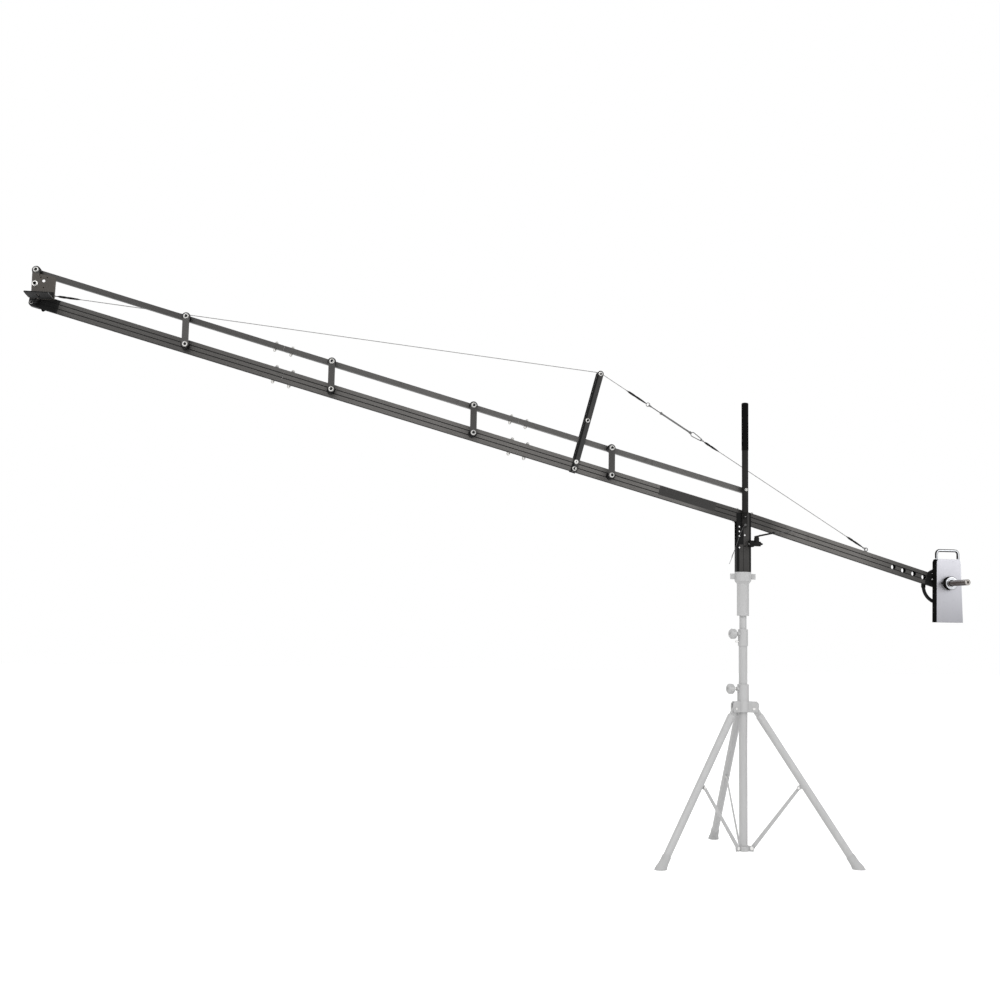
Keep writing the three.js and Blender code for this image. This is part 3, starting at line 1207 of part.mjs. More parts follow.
// A round knob on a shank; its axis is Z here and its seat is the shank's inner end.
function knobGeometry(inner, centre) {
  const start = centre - knob.headLength / 2;
  const end = centre + knob.headLength / 2;
  const profile = [
    [0, inner], [knob.shankRadius, inner], [knob.shankRadius, start - fit.overrun],
    [knob.neckRadius, start], [knob.headRadius - knob.edge, start], [knob.headRadius, start + knob.edge],
    [knob.headRadius, end - knob.edge], [knob.headRadius - knob.edge, end], [0, end],
  ];
  const body = turned(profile);
  const grooves = Array.from({ length: knob.lobeCount }, (_, index) => {
    const angle = (2 * Math.PI * index) / knob.lobeCount;
    const place = [knob.headRadius * Math.cos(angle), knob.headRadius * Math.sin(angle), 0];
    return cylinder('z', knob.lobeRadius, [start - fit.overrun, end + fit.overrun], place, counts.wireSides);
  });
  return cut(body, grooves);
}

function buildKnob(name, height, distance, innerRadius) {
  const geometry = knobGeometry(innerRadius, distance).rotateY(Math.PI / 2);
  const mesh = addMesh(crane, name, geometry, coat.stand);
  mesh.position.z = height;
  mesh.rotation.z = radians(knob.azimuth);
}

const legRun = leg.footRadius - leg.pivotRadius;
const legLength = Math.hypot(legRun, legPivotHeight);
const legLean = Math.atan2(legRun, legPivotHeight);

// A place on a leg, given along it and square to it, as [radius, height] about the stand's axis.
function legPlace(along, outward) {
  const radius = leg.pivotRadius + along * Math.sin(legLean) + outward * Math.cos(legLean);
  const height = legPivotHeight - along * Math.cos(legLean) + outward * Math.sin(legLean);
  return [radius, height];
}

// One leg in its upright plane: tongue and pin above, tube, ear for the brace, rubber shoe.
function legGeometry() {
  const halfTongue = leg.tongueThickness / 2;
  const tongueShape = capsule([0, 0], [leg.tubeStart + leg.radius, 0], leg.tongueHalf);
  const tongue = plateAcrossY(tongueShape, [-halfTongue, halfTongue]);
  const earOuter = halfTongue + fit.seat + legCollar.earThickness;
  const headStart = earOuter + fit.seat;
  const headEnd = headStart + leg.pinHeadLength;
  const pinPieces = [
    cylinder('y', leg.pinRadius, [-headEnd, headEnd]),
    cylinder('y', leg.pinHeadRadius, [headStart, headEnd]),
    cylinder('y', leg.pinHeadRadius, [-headEnd, -headStart]),
  ];
  const tube = cylinder('x', leg.radius, [leg.tubeStart, legLength], [0, 0, 0], counts.roundSides);
  const shoeRange = [legLength - leg.shoeLength, legLength + leg.shoeBottomRadius];
  const { shoeTopRadius, shoeBottomRadius } = leg;
  const shoe = cylinder('x', shoeTopRadius, shoeRange, [0, 0, 0], counts.roundSides, shoeBottomRadius);
  const halfEar = leg.earThickness / 2;
  const earShape = capsule([leg.braceStation, -leg.braceDrop], [leg.braceStation, 0], leg.earHalf);
  const ear = plateAcrossY(earShape, [-halfEar, halfEar]);
  const earPlace = [leg.braceStation, 0, -leg.braceDrop];
  const earBore = boreTool('y', brace.pinRadius + fit.bore, [-leg.radius, leg.radius], earPlace);
  const straight = join([cut(join([tube, ear]), [earBore]), tongue, shoe, ...pinPieces]);
  const placed = straight.rotateY(Math.PI / 2 - legLean).translate(leg.pivotRadius, 0, legPivotHeight);
  const reach = 2 * leg.footRadius;
  return cut(placed, [box([-reach, reach], [-reach, reach], [-reach, 0])]);
}

// One brace in the same plane: a flat bar with its pin at the leg and a riveted eye at the column.
function braceGeometry() {
  const upper = legPlace(leg.braceStation, -leg.braceDrop);
  const lower = [brace.lowerRadius, braceFootHeight];
  const start = leg.earThickness / 2 + fit.seat;
  const end = start + brace.thickness;
  const bar = plateAcrossY(capsule(upper, lower, brace.width / 2), [start, end]);
  const eye = cylinder('y', brace.eyeRadius, [start, end], [lower[0], 0, lower[1]], counts.roundSides);
  const headRange = [end - fit.seat, end + brace.pinHeadLength];
  const headEnd = -start - brace.pinHeadLength;
  const place = [upper[0], 0, upper[1]];
  return join([
    bar,
    eye,
    cylinder('y', brace.eyeHeadRadius, headRange, [lower[0], 0, lower[1]]),
    cylinder('y', brace.pinRadius, [headEnd, end], place),
    cylinder('y', brace.pinHeadRadius, [headEnd, -start], place),
    cylinder('y', brace.pinHeadRadius, headRange, place),
  ]);
}

function buildLegs() {
  const legShape = legGeometry();
  const braceShape = braceGeometry();
  leg.azimuths.forEach((azimuth, index) => {
    const side = leg.names[index];
    addMesh(crane, `leg_${side}`, legShape.clone(), coat.stand).rotation.z = radians(azimuth);
    addMesh(crane, `brace_${side}`, braceShape.clone(), coat.stand).rotation.z = radians(azimuth);
  });
}

buildBoomSections();
buildTailSection();
buildBoomSplices();
buildNose();
buildBar();
buildLinks();
buildHead();
buildStrut();
buildRoller();
buildFrontCable();
buildTurnbuckle();
buildRearCable();
buildLug();
buildTailEye();
buildBracket();
buildMast();
buildFulcrumPins();
buildClip();
buildBrake();
buildRod();
buildSlab();
buildCollar();
buildRing();
buildAdapter();
buildInnerTube();
buildColumn();
buildLegCollar();
buildKnob('height_knob', columnTop - heightKnob.inset, heightKnob.distance, innerTube.radius + fit.seat);
buildKnob('leg_knob', collarTop - legKnob.inset, legKnob.distance, column.radius + fit.seat);
buildLegs();

// The finished crane stands with the middle of its bounding box's bottom face on the origin.
crane.updateMatrixWorld(true);
const bounds = new THREE.Box3().setFromObject(crane, true);
const middle = bounds.getCenter(new THREE.Vector3());
crane.position.set(-middle.x, -middle.y, -bounds.min.z);

export default crane;
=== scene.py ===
import json
import math

import bmesh
import bpy
from mathutils import Matrix, Vector

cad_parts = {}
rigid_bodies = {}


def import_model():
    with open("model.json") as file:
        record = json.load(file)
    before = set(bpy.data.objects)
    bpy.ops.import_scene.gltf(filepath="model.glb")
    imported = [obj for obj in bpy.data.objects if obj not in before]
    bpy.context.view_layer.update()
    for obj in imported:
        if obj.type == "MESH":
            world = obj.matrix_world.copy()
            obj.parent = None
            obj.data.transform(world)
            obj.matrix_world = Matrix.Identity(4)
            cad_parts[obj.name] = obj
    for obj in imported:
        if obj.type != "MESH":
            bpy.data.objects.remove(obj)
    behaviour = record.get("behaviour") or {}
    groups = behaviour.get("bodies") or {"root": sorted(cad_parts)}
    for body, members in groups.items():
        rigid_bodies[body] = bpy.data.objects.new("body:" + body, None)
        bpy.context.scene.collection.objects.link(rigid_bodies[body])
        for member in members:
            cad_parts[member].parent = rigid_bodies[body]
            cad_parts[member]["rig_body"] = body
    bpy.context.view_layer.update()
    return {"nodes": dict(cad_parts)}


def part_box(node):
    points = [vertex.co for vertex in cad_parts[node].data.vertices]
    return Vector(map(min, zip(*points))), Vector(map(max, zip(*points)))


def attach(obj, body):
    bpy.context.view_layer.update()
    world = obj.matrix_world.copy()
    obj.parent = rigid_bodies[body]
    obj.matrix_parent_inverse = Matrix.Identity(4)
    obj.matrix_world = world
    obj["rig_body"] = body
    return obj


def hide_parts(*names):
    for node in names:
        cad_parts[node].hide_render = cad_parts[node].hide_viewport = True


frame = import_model()
print("frame loaded")

# The camera stands where the photograph was taken from.
cameraValues = {
    "place": (-0.813235, -5.212612, 0.96256), "yaw": 8.3876, "pitch": 5.633, "roll": 0.9983,
    "focalPixels": 1242.35, "imageWidth": 1000, "sensor": 36.0,
}


def makeCamera(values):
    data = bpy.data.cameras.new("camera")
    data.sensor_width = values["sensor"]
    data.lens = values["focalPixels"] * values["sensor"] / values["imageWidth"]
    camera = bpy.data.objects.new("camera", data)
    bpy.context.scene.collection.objects.link(camera)
    yaw, pitch, roll = (math.radians(values[key]) for key in ("yaw", "pitch", "roll"))
    turn = Matrix.Rotation(-yaw, 4, "Z") @ Matrix.Rotation(math.pi / 2 + pitch, 4, "X")
    camera.matrix_world = Matrix.Translation(values["place"]) @ turn @ Matrix.Rotation(roll, 4, "Z")
    bpy.context.scene.camera = camera


makeCamera(cameraValues)
bpy.context.scene.view_settings.view_transform = "Standard"


# One socket of a shader tree, with the arithmetic that the finishes use.
class Value:
    def __init__(self, finish, socket):
        self.finish, self.socket = finish, socket

    def math(self, operation, *other):
        return self.finish.node("ShaderNodeMath", {"operation": operation}, [self, *other])

    def __add__(self, other):
        return self.math("ADD", other)

    def __sub__(self, other):
        return self.math("SUBTRACT", other)

    def __mul__(self, other):
        return self.math("MULTIPLY", other)

    __radd__ = __add__

    def above(self, limit, softness):
        return self.finish.node("ShaderNodeMapRange", {"interpolation_type": "SMOOTHSTEP"},
                                [self, limit - softness, limit + softness])

    def part(self, axis):
        return self.finish.node("ShaderNodeSeparateXYZ", {}, [self], axis)


# A principled material: constants go straight on the shader, patterns come from the methods.
class Finish:
    def __init__(self, name, slope=0, **constants):
        self.material = bpy.data.materials.new(name)
        self.material.use_nodes = True
        self.tree = self.material.node_tree
        self.shader = self.tree.nodes["Principled BSDF"]
        self.place = self.node("ShaderNodeTexCoord", output="Object")
        if slope:
            self.place = self.node("ShaderNodeMapping", {}, {
                "Vector": self.place, "Rotation": (0, -math.radians(slope), 0)})
        for key, value in constants.items():
            self.feed(key.replace("_", " ").title().replace("Ior", "IOR"), value)

    def node(self, kind, settings=None, values=(), output=0):
        node = self.tree.nodes.new(kind)
        for key, value in (settings or {}).items():
            setattr(node, key, value)
        for key, value in values.items() if isinstance(values, dict) else enumerate(values):
            self.plug(node.inputs[key], value)
        return Value(self, node.outputs[output])

    def plug(self, socket, value):
        if isinstance(value, Value):
            self.tree.links.new(value.socket, socket)
        else:
            socket.default_value = value

    def feed(self, name, value):
        self.plug(self.shader.inputs[name], value)

    # The scales are how often a pattern changes in a metre: one for every way, or one each for x, y and z.
    def stretched(self, scales):
        scales = scales if isinstance(scales, tuple) else (scales, scales, scales)
        return self.node("ShaderNodeVectorMath", {"operation": "MULTIPLY"}, [self.place, scales])

    def noise(self, scales, detail, roughness=0.5):
        return self.node("ShaderNodeTexNoise", {}, {
            "Vector": self.stretched(scales), "Scale": 1.0, "Detail": detail, "Roughness": roughness})

    def cells(self, scales):
        return self.node("ShaderNodeTexVoronoi", {}, {"Vector": self.stretched(scales), "Scale": 1.0})

    def mix(self, factor, first, second):
        first, second = ((*color, 1) if isinstance(color, tuple) else color for color in (first, second))
        return self.node("ShaderNodeMix", {"data_type": "RGBA"}, {0: factor, 6: first, 7: second}, 2)

    def bump(self, height, distance, strength=1.0):
        normal = self.node("ShaderNodeBump", {}, {
            "Height": height, "Distance": distance, "Strength": strength})
        self.feed("Normal", normal)


def grey(level, warmth=0.0):
    return (level * (1 + warmth), level, level * (1 - warmth))


def darker(color, share):
    return tuple(share * part for part in color)


# Drawn aluminium under a dyed satin coat: fine lines along the length, soft blotches, a few scratches.
def anodised(name, slope, color, light, roughness=0.4, metallic=0.5, mirror=0.35, fades=()):
    finish = Finish(name, slope, metallic=metallic, specular_ior_level=mirror)
    lines = finish.noise((5, 1500, 1500), 2)
    blotches = finish.noise((9, 14, 14), 4)
    scratches = finish.noise((18, 60, 700), 5, 0.75).above(0.69, 0.02)
    grime = finish.noise((30, 45, 45), 5, 0.6)
    tone = finish.mix(lines * 0.35 + blotches * 0.65, color, light)
    tone = finish.mix(grime.above(0.64, 0.08) * 0.35, tone, grey(0.02, 0.1))
    # Each fade darkens the tone along the length; those beside the bracket are painted shade.
    for fade in fades:
        sunk = finish.node("ShaderNodeMapRange", {}, [finish.place.part(0), *fade])
        tone = finish.mix(sunk * 0.8, tone, darker(color, 0.3))
    finish.feed("Base Color", finish.mix(scratches * 0.5, tone, grey(0.3)))
    finish.feed("Roughness", roughness - 0.08 + lines * 0.1 + blotches * 0.12 - scratches * 0.08)
    finish.bump(lines * 0.6 + scratches, 0.00004)
    return finish.material


# Powder coat: a fine orange-peel skin with dusty patches and small chips down to the metal.
def powder(name, color, dust, roughness, chips, mirror):
    finish = Finish(name, specular_ior_level=mirror)
    peel = finish.noise(420, 2)
    patches = finish.noise((14, 14, 20), 4)
    chipped = finish.noise(160, 3, 0.7).above(chips, 0.01)
    tone = finish.mix(patches.above(0.58, 0.2) * 0.6, color, dust)
    finish.feed("Base Color", finish.mix(chipped, tone, grey(0.32, 0.02)))
    finish.feed("Roughness", roughness - 0.06 + patches * 0.16 + peel * 0.05 - chipped * 0.1)
    finish.bump(peel * 0.5 - chipped, 0.00012)
    return finish.material


# Plated fasteners and eyes: bright, with a faint bluish and straw cast and fine turning marks.
def plated(name, color, cast, roughness):
    finish = Finish(name, metallic=1.0)
    cloud = finish.noise(90, 3)
    turning = finish.noise((2200, 300, 2200), 1)
    spots = finish.noise(600, 4, 0.7).above(0.7, 0.03)
    tone = finish.mix(cloud, color, cast)
    finish.feed("Base Color", finish.mix(spots * 0.6, tone, grey(0.3, 0.05)))
    finish.feed("Roughness", roughness - 0.06 + cloud * 0.1 + turning * 0.08 + spots * 0.2)
    finish.bump(turning, 0.00003)
    return finish.material


# Mirror plate with a milky film, finger marks and rings from turning.
def mirrorPlated(name, color, film, roughness):
    finish = Finish(name, metallic=1.0)
    smudge = finish.noise((40, 55, 40), 5, 0.6)
    hairlines = finish.noise((900, 40, 900), 3, 0.7)
    finish.feed("Base Color", finish.mix(smudge.above(0.5, 0.2) * 0.7, color, film))
    finish.feed("Roughness", roughness + smudge.above(0.52, 0.15) * 0.12 + hairlines * 0.05)
    finish.bump(hairlines, 0.000015)
    return finish.material


# Ground steel: close upright lines, a cloudy sheen, small dents and a lower end that the light leaves.
def brushed(name, color, dark, roughness, fade):
    finish = Finish(name, metallic=1.0)
    lines = finish.noise((1700, 1700, 9), 3, 0.6)
    cloud = finish.noise((16, 16, 10), 3)
    dents = finish.noise(70, 2).above(0.71, 0.03)
    tone = finish.mix(lines * 0.5 + cloud * 0.5, color, dark)
    sunk = finish.node("ShaderNodeMapRange", {}, [finish.place.part(2), *reversed(fade)])
    tone = finish.mix(sunk, tone, darker(color, 0.55))
    finish.feed("Base Color", finish.mix(dents * 0.3, tone, grey(0.2)))
    finish.feed("Roughness", roughness - 0.07 + lines * 0.12 + cloud * 0.12)
    finish.bump(lines * 0.4 - dents, 0.00006)
    return finish.material


# Moulded rubber and foam: closed cells, a dull skin and pale scuffs.
def cellular(name, color, scuff, size=900, depth=0.00025, roughness=0.85, mirror=0.05):
    finish = Finish(name, specular_ior_level=mirror)
    cells = finish.cells(size)
    wear = finish.noise(30, 5, 0.65)
    finish.feed("Base Color", finish.mix(wear.above(0.6, 0.12) * 0.5, color, scuff))
    finish.feed("Roughness", roughness - 0.1 + wear * 0.15)
    finish.bump(cells, depth, 0.7)
    return finish.material


# Steel rope: the lay of its strands runs round and along the wire, on the tube's own map.
def strandedWire(name, color, dark):
    finish = Finish(name, metallic=1.0)
    along = finish.node("ShaderNodeUVMap", {"uv_map": "lay"})
    turns = along.part(0) * 6.0 + along.part(1) * 6.0
    ridge = (turns * (2 * math.pi)).math("SINE") * 0.5 + 0.5
    dull = finish.noise(20, 3)
    finish.feed("Base Color", finish.mix(ridge * 0.75 + dull * 0.25, dark, color))
    finish.feed("Roughness", 0.3 + dull * 0.2)
    finish.bump(ridge, 0.0003)
    return finish.material


# Enamelled steel tube: pale, even, with faint runs down the length and rub marks.
def enamel(name, color, shade):
    finish = Finish(name)
    runs = finish.noise((60, 60, 6), 3)
    skin = finish.noise(350, 2)
    rubs = finish.noise((25, 25, 90), 5, 0.7).above(0.68, 0.04)
    tone = finish.mix(runs, color, shade)
    finish.feed("Base Color", finish.mix(rubs * 0.5, tone, darker(color, 0.72)))
    finish.feed("Roughness", 0.4 + runs * 0.1 + rubs * 0.15)
    finish.bump(skin * 0.6 - rubs * 0.4, 0.00008)
    return finish.material


slopes = {"boom": 14.91, "tail": 16.24}
beamTone = (grey(0.088, 0.05), grey(0.126, 0.04))
# Fades darken the tone along the length. Beside the bracket, on the boom and at the tail's near end, they are painted
# shade; towards the head the boom and bar darken, and the tail darkens towards its far end.
headFade, pivotPaintedShade = (-0.8, -1.9), (0.36, 0.47)
tailFades = [(0.78, 0.67), (1.10, 1.30)]
barTone = (grey(0.066, 0.04), grey(0.100, 0.03))
coats = {
    "beam": anodised("beam_satin", slopes["boom"], *beamTone, fades=[headFade, pivotPaintedShade]),
    "tail": anodised("tail_satin", slopes["tail"], *beamTone, fades=tailFades),
    "bar": anodised("bar_satin", slopes["boom"], *barTone, fades=[headFade]),
    "link": anodised("link_satin", 90, grey(0.036, 0.04), grey(0.058, 0.03)),
    "groove": powder("groove_shade", grey(0.010), grey(0.016), 0.6, 0.95, 0.1),
    "label": anodised("label_film", slopes["boom"], grey(0.018, 0.05), grey(0.028, 0.04), 0.4, 0.0, 0.25),
    "strut": powder("strut_black", grey(0.027), grey(0.042, 0.05), 0.4, 0.76, 0.2),
    "plate": powder("head_plate_black", grey(0.036, 0.16), grey(0.056, 0.14), 0.4, 0.76, 0.25),
    "black": powder("fitting_black", grey(0.005), grey(0.012, 0.05), 0.42, 0.76, 0.12),
    # Black nylon for the spacers and the roller, and painted shade in sockets, behind the head plate's holes and
    # under the camera plate.
    "nylonAndPaintedShade": powder("spacer_nylon_and_painted_shade", grey(0.003), grey(0.006), 0.5, 0.95, 0.08),
    "shade": powder("socket_shade", grey(0.03), grey(0.05), 0.7, 0.95, 0.1),
    "bracket": powder("bracket_enamel", grey(0.026, 0.05), grey(0.044, 0.05), 0.4, 0.76, 0.25),
    # Near black: the camera plate's own coat, and painted shade on the bracket's sides and inside, its side lug and
    # the strut's rear plate and left band.
    "blackAndPaintedShade": powder("black_and_painted_shade_enamel", grey(0.004), grey(0.009), 0.45, 0.8, 0.1),
    "mast": powder("mast_enamel", grey(0.009, 0.06), grey(0.015, 0.07), 0.42, 0.85, 0.12),
    "foam": cellular("grip_foam", grey(0.003), grey(0.007)),
    "rubber": cellular("shoe_rubber", grey(0.42), grey(0.36), 500, 0.0001, 0.85, 0.3),
    "sleeve": cellular("shrink_sleeve", grey(0.006), grey(0.016), 700, 0.00008, 0.6, 0.15),
    "zinc": plated("zinc_plate", (0.62, 0.625, 0.64), (0.67, 0.655, 0.6), 0.34),
    "washer": plated("washer_plate_and_painted_light", (0.3, 0.3, 0.31), (0.36, 0.35, 0.32), 0.4),
    "eyes": powder("stay_fitting_steel", grey(0.10), grey(0.17, 0.02), 0.36, 0.95, 0.5),
    "splice": plated("splice_bar_metal", (0.42, 0.42, 0.44), (0.5, 0.49, 0.46), 0.4),
    "wire": strandedWire("steel_rope", grey(0.34, 0.01), grey(0.08)),
    "clip": powder("clip_steel", grey(0.06), grey(0.1, 0.02), 0.36, 0.95, 0.4),
    "chrome": mirrorPlated("chrome_plate", (0.52, 0.53, 0.55), (0.4, 0.41, 0.43), 0.14),
    "chromePaintedShade": powder("chrome_shade", grey(0.008), grey(0.02), 0.3, 0.95, 0.0),
    "rod": powder("rod_bronzed", (0.042, 0.03, 0.026), (0.07, 0.053, 0.045), 0.3, 0.95, 0.35),
    "rodPaintedHighlight": mirrorPlated("rod_painted_highlight", (0.3, 0.28, 0.265), (0.22, 0.205, 0.19), 0.2),
    "slab": brushed("slab_satin_steel", (0.51, 0.51, 0.545), (0.43, 0.43, 0.46), 0.42, (1.0, 1.27)),
    "slabPaintedShade": powder("slab_shade", grey(0.006), grey(0.014), 0.4, 0.93, 0.0),
    "stand": enamel("stand_enamel", grey(0.46), grey(0.4)),
    "standMetal": plated("stand_bolt_plate", (0.62, 0.62, 0.63), (0.68, 0.67, 0.64), 0.35),
}
print("finishes made")


# Mesh tools. A piece is made in millimetres in its own frame, and a frame carries it to its place.
def polarOutline(middle, radius, count, start=0.0, sweep=2 * math.pi):
    steps = count if sweep >= 2 * math.pi else count - 1
    return [(middle[0] + radius * math.cos(start + sweep * step / steps),
             middle[1] + radius * math.sin(start + sweep * step / steps)) for step in range(count)]


def capsule(low, high, radius, count=18):
    return polarOutline(high, radius, count, 0, math.pi) + polarOutline(low, radius, count, math.pi, math.pi)


def rounded(width, height, radius, count=6):
    x, z = width / 2 - radius, height / 2 - radius
    corners = [(x, z), (-x, z), (-x, -z), (x, -z)]
    return [point for turn, corner in enumerate(corners)
            for point in polarOutline(corner, radius, count, turn * math.pi / 2, math.pi / 2)]


# Extrudes an outline. It is drawn across the named axis, which is also the way it is pushed.
def extruded(outline, axis, low, high):
    places = {"x": lambda a, b: (low, a, b), "y": lambda a, b: (a, low, b), "z": lambda a, b: (a, b, low)}
    bm = bmesh.new()
    face = bm.faces.new([bm.verts.new(places[axis](*point)) for point in outline])
    pushed = bmesh.ops.extrude_face_region(bm, geom=[face])["geom"]
    push = Vector([high - low if letter == axis else 0 for letter in "xyz"])
    bmesh.ops.translate(bm, verts=[v for v in pushed if isinstance(v, bmesh.types.BMVert)], vec=push)
    bmesh.ops.recalc_face_normals(bm, faces=bm.faces)
    return bm


def block(xRange, yRange, zRange):
    outline = [(xRange[0], zRange[0]), (xRange[1], zRange[0]), (xRange[1], zRange[1]), (xRange[0], zRange[1])]
    return extruded(outline, "y", *yRange)


turns = {
    "x": Matrix.Rotation(math.pi / 2, 4, "Y"), "y": Matrix.Rotation(-math.pi / 2, 4, "X"),
    "z": Matrix.Identity(4),
}


# Spins a profile of (radius, height) about an axis that runs through a place.
def spun(profile, axis="z", place=(0, 0, 0), steps=40, closed=False, rounding=0):
    bm = bmesh.new()
    verts = [bm.verts.new((radius, 0, height)) for radius, height in profile]
    for pair in zip(verts, verts[1:]):
        bm.edges.new(pair)
    if closed:
        bm.edges.new((verts[-1], verts[0]))
    if rounding:
        corners = [v for v in bm.verts if len(v.link_edges) == 2]
        bmesh.ops.bevel(bm, geom=corners, offset=rounding, offset_type="OFFSET", segments=3, profile=0.5,
                        affect="VERTICES", clamp_overlap=True, material=-1)
    bmesh.ops.spin(bm, geom=bm.verts[:] + bm.edges[:], cent=(0, 0, 0), axis=(0, 0, 1), dvec=(0, 0, 0),
                   angle=2 * math.pi, steps=steps, use_merge=True, use_duplicate=False)
    bmesh.ops.remove_doubles(bm, verts=bm.verts, dist=0.001)
    bmesh.ops.recalc_face_normals(bm, faces=bm.faces)
    return moved(bm, Matrix.Translation(place) @ turns[axis])


def disc(axis, radius, low, high, place=(0, 0, 0), steps=40, rounding=0):
    return spun([(0, low), (radius, low), (radius, high), (0, high)], axis, place, steps, rounding=rounding)


def sleeve(axis, inner, outer, low, high, rounding, steps=40):
    profile = [(inner, low), (outer, low), (outer, high), (inner, high)]
    return spun(profile, axis, steps=steps, closed=True, rounding=rounding)


def moved(bm, matrix):
    bmesh.ops.transform(bm, matrix=matrix, verts=bm.verts)
    return bm


def shifted(bm, x=0, y=0, z=0):
    return moved(bm, Matrix.Translation((x, y, z)))


def bevelled(bm, width, segments=2, angle=30):
    sharp = [e for e in bm.edges if e.is_manifold and e.calc_face_angle(0) > math.radians(angle)]
    bmesh.ops.bevel(bm, geom=sharp, offset=width, offset_type="OFFSET", segments=segments, profile=0.5,
                    affect="EDGES", clamp_overlap=True, material=-1)
    return bm


# Marks the faces that pass a test of their middle and normal: they take a part's second coat.
def marked(bm, test):
    for face in bm.faces:
        face.material_index = 1 if test(face.calc_center_median(), face.normal) else 0
    return bm


# Cuts the faces of a solid along planes, each an axis and a distance, without opening it.
def sliced(bm, *planes):
    for letter, distance in planes:
        normal = Vector([letter == axis for axis in "xyz"])
        bmesh.ops.bisect_plane(bm, geom=bm.verts[:] + bm.edges[:] + bm.faces[:],
                               plane_co=normal * distance, plane_no=normal)
    return bm


def meshOf(bm, name="scratch"):
    mesh = bpy.data.meshes.new(name)
    bm.to_mesh(mesh)
    bm.free()
    return mesh


# Cuts tools out of a solid, or joins them to it.
def combined(bm, tools, operation="DIFFERENCE"):
    objects = [bpy.data.objects.new("scratch", meshOf(part)) for part in (bm, *tools)]
    for item in objects:
        bpy.context.scene.collection.objects.link(item)
    for tool in objects[1:]:
        modifier = objects[0].modifiers.new("cut", "BOOLEAN")
        modifier.operation, modifier.solver, modifier.object = operation, "EXACT", tool
    graph = bpy.context.evaluated_depsgraph_get()
    result = bmesh.new()
    result.from_mesh(objects[0].evaluated_get(graph).to_mesh())
    for item in objects:
        bpy.data.meshes.remove(item.data)
    bmesh.ops.remove_doubles(result, verts=result.verts, dist=0.001)
    bmesh.ops.dissolve_limit(result, angle_limit=math.radians(0.5), verts=result.verts, edges=result.edges)
    return result


def bore(axis, radius, low, high, place=(0, 0, 0), steps=32):
    return disc(axis, radius, low, high, place, steps)


# A round tube along points, with closed ends and a map that runs round and along it for a rope's lay.
def piped(points, radius, closed=False, sides=16, lay=None):
    curve = bpy.data.curves.new("route", "CURVE")
    curve.dimensions, curve.bevel_depth, curve.bevel_resolution = "3D", radius, sides // 4
    curve.use_fill_caps = True
    spline = curve.splines.new("POLY")
    spline.points.add(len(points) - 1)
    for point, place in zip(spline.points, points):
        point.co = (*place, 1)
    spline.use_cyclic_u = closed
    holder = bpy.data.objects.new("route", curve)
    mesh = bpy.data.meshes.new_from_object(holder)
    bm = bmesh.new()
    bm.from_mesh(mesh)
    bpy.data.objects.remove(holder)
    bmesh.ops.remove_doubles(bm, verts=bm.verts, dist=0.0005)
    bmesh.ops.recalc_face_normals(bm, faces=bm.faces)
    if lay:
        layer = bm.loops.layers.uv.new("lay")
        start, direction = Vector(points[0]), (Vector(points[-1]) - Vector(points[0])).normalized()
        side = direction.orthogonal().normalized()
        other = direction.cross(side)
        for face in bm.faces:
            for loop in face.loops:
                offset = loop.vert.co - start
                turn = math.atan2(offset.dot(other), offset.dot(side)) / (2 * math.pi)
                loop[layer].uv = (offset.dot(direction) / lay / 6, turn)
            values = [loop[layer].uv[1] for loop in face.loops]
            if max(values) - min(values) > 0.5:
                for loop in face.loops:
                    if loop[layer].uv[1] < 0:
                        loop[layer].uv[1] += 1
    return bm


def loopPoints(middle, first, second, radius, count=32):
    return [Vector(middle) + Vector(first) * (radius * math.cos(2 * math.pi * step / count))
            + Vector(second) * (radius * math.sin(2 * math.pi * step / count)) for step in range(count)]


# Joins parts into one piece at its place. It stands for the imported solid of its name, on that solid's body,
# unless a body is named. Each part is a mesh and its coat, and may name a
# second coat for the faces that are marked.
def piece(name, where, parts, body=None):
    whole = bmesh.new()
    used = []
    for bm, *names in parts:
        moved(bm, where)
        for face in bm.faces:
            face.material_index = len(used) + min(face.material_index, len(names) - 1)
        used += names
        part = meshOf(bm)
        whole.from_mesh(part)
        bpy.data.meshes.remove(part)
    mesh = meshOf(whole, name)
    for coat in used:
        mesh.materials.append(coats[coat])
    mesh.shade_smooth()
    mesh.set_sharp_from_angle(angle=math.radians(32))
    item = bpy.data.objects.new(name, mesh)
    bpy.context.scene.collection.objects.link(item)
    item.modifiers.new("even_shading", "WEIGHTED_NORMAL").keep_sharp = True
    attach(item, body or frame["nodes"][name]["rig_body"])
    if body is None:
        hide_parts(name)
    return item


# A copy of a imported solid, welded, with its flat faces whole and its edges eased, in metres.
def eased(node, width):
    bm = bmesh.new()
    bm.from_mesh(frame["nodes"][node].data)
    bmesh.ops.remove_doubles(bm, verts=bm.verts, dist=0.00001)
    bmesh.ops.dissolve_limit(bm, angle_limit=math.radians(1), verts=bm.verts, edges=bm.edges)
    return bevelled(bm, width * millimetre)


# Frames of the crane's parts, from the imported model's own places.
millimetre = 0.001
small = Matrix.Scale(millimetre, 4)
adapterLow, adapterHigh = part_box("stand_adapter")
axis = (adapterLow + adapterHigh) / 2
pivotRise = 0.235  # metres above the adapter's rim
pivot = Vector((axis.x, axis.y, adapterHigh.z + pivotRise))
sectionLength, linkLength = 1016.0, 115.0
headEnd = 3 * sectionLength


def hanging(place):
    return Matrix.Translation(place) @ small


def sloped(place, slope):
    return Matrix.Translation(place) @ Matrix.Rotation(math.radians(slope), 4, "Y") @ small


boomFrame = sloped(pivot, slopes["boom"])
tailFrame = sloped(pivot, slopes["tail"])
barFrame = sloped(pivot + Vector((0, 0, linkLength * millimetre)), slopes["boom"])
fulcrumFrame = hanging(pivot)
standFrame = hanging((axis.x, axis.y, 0))


# The frame of a place that lies a distance from the pivot, towards the head.
def towardsHead(where, distance):
    return where @ Matrix.Translation((-distance, 0, 0))


def onBoom(station):
    return boomFrame @ Vector((-station, 0, 0))


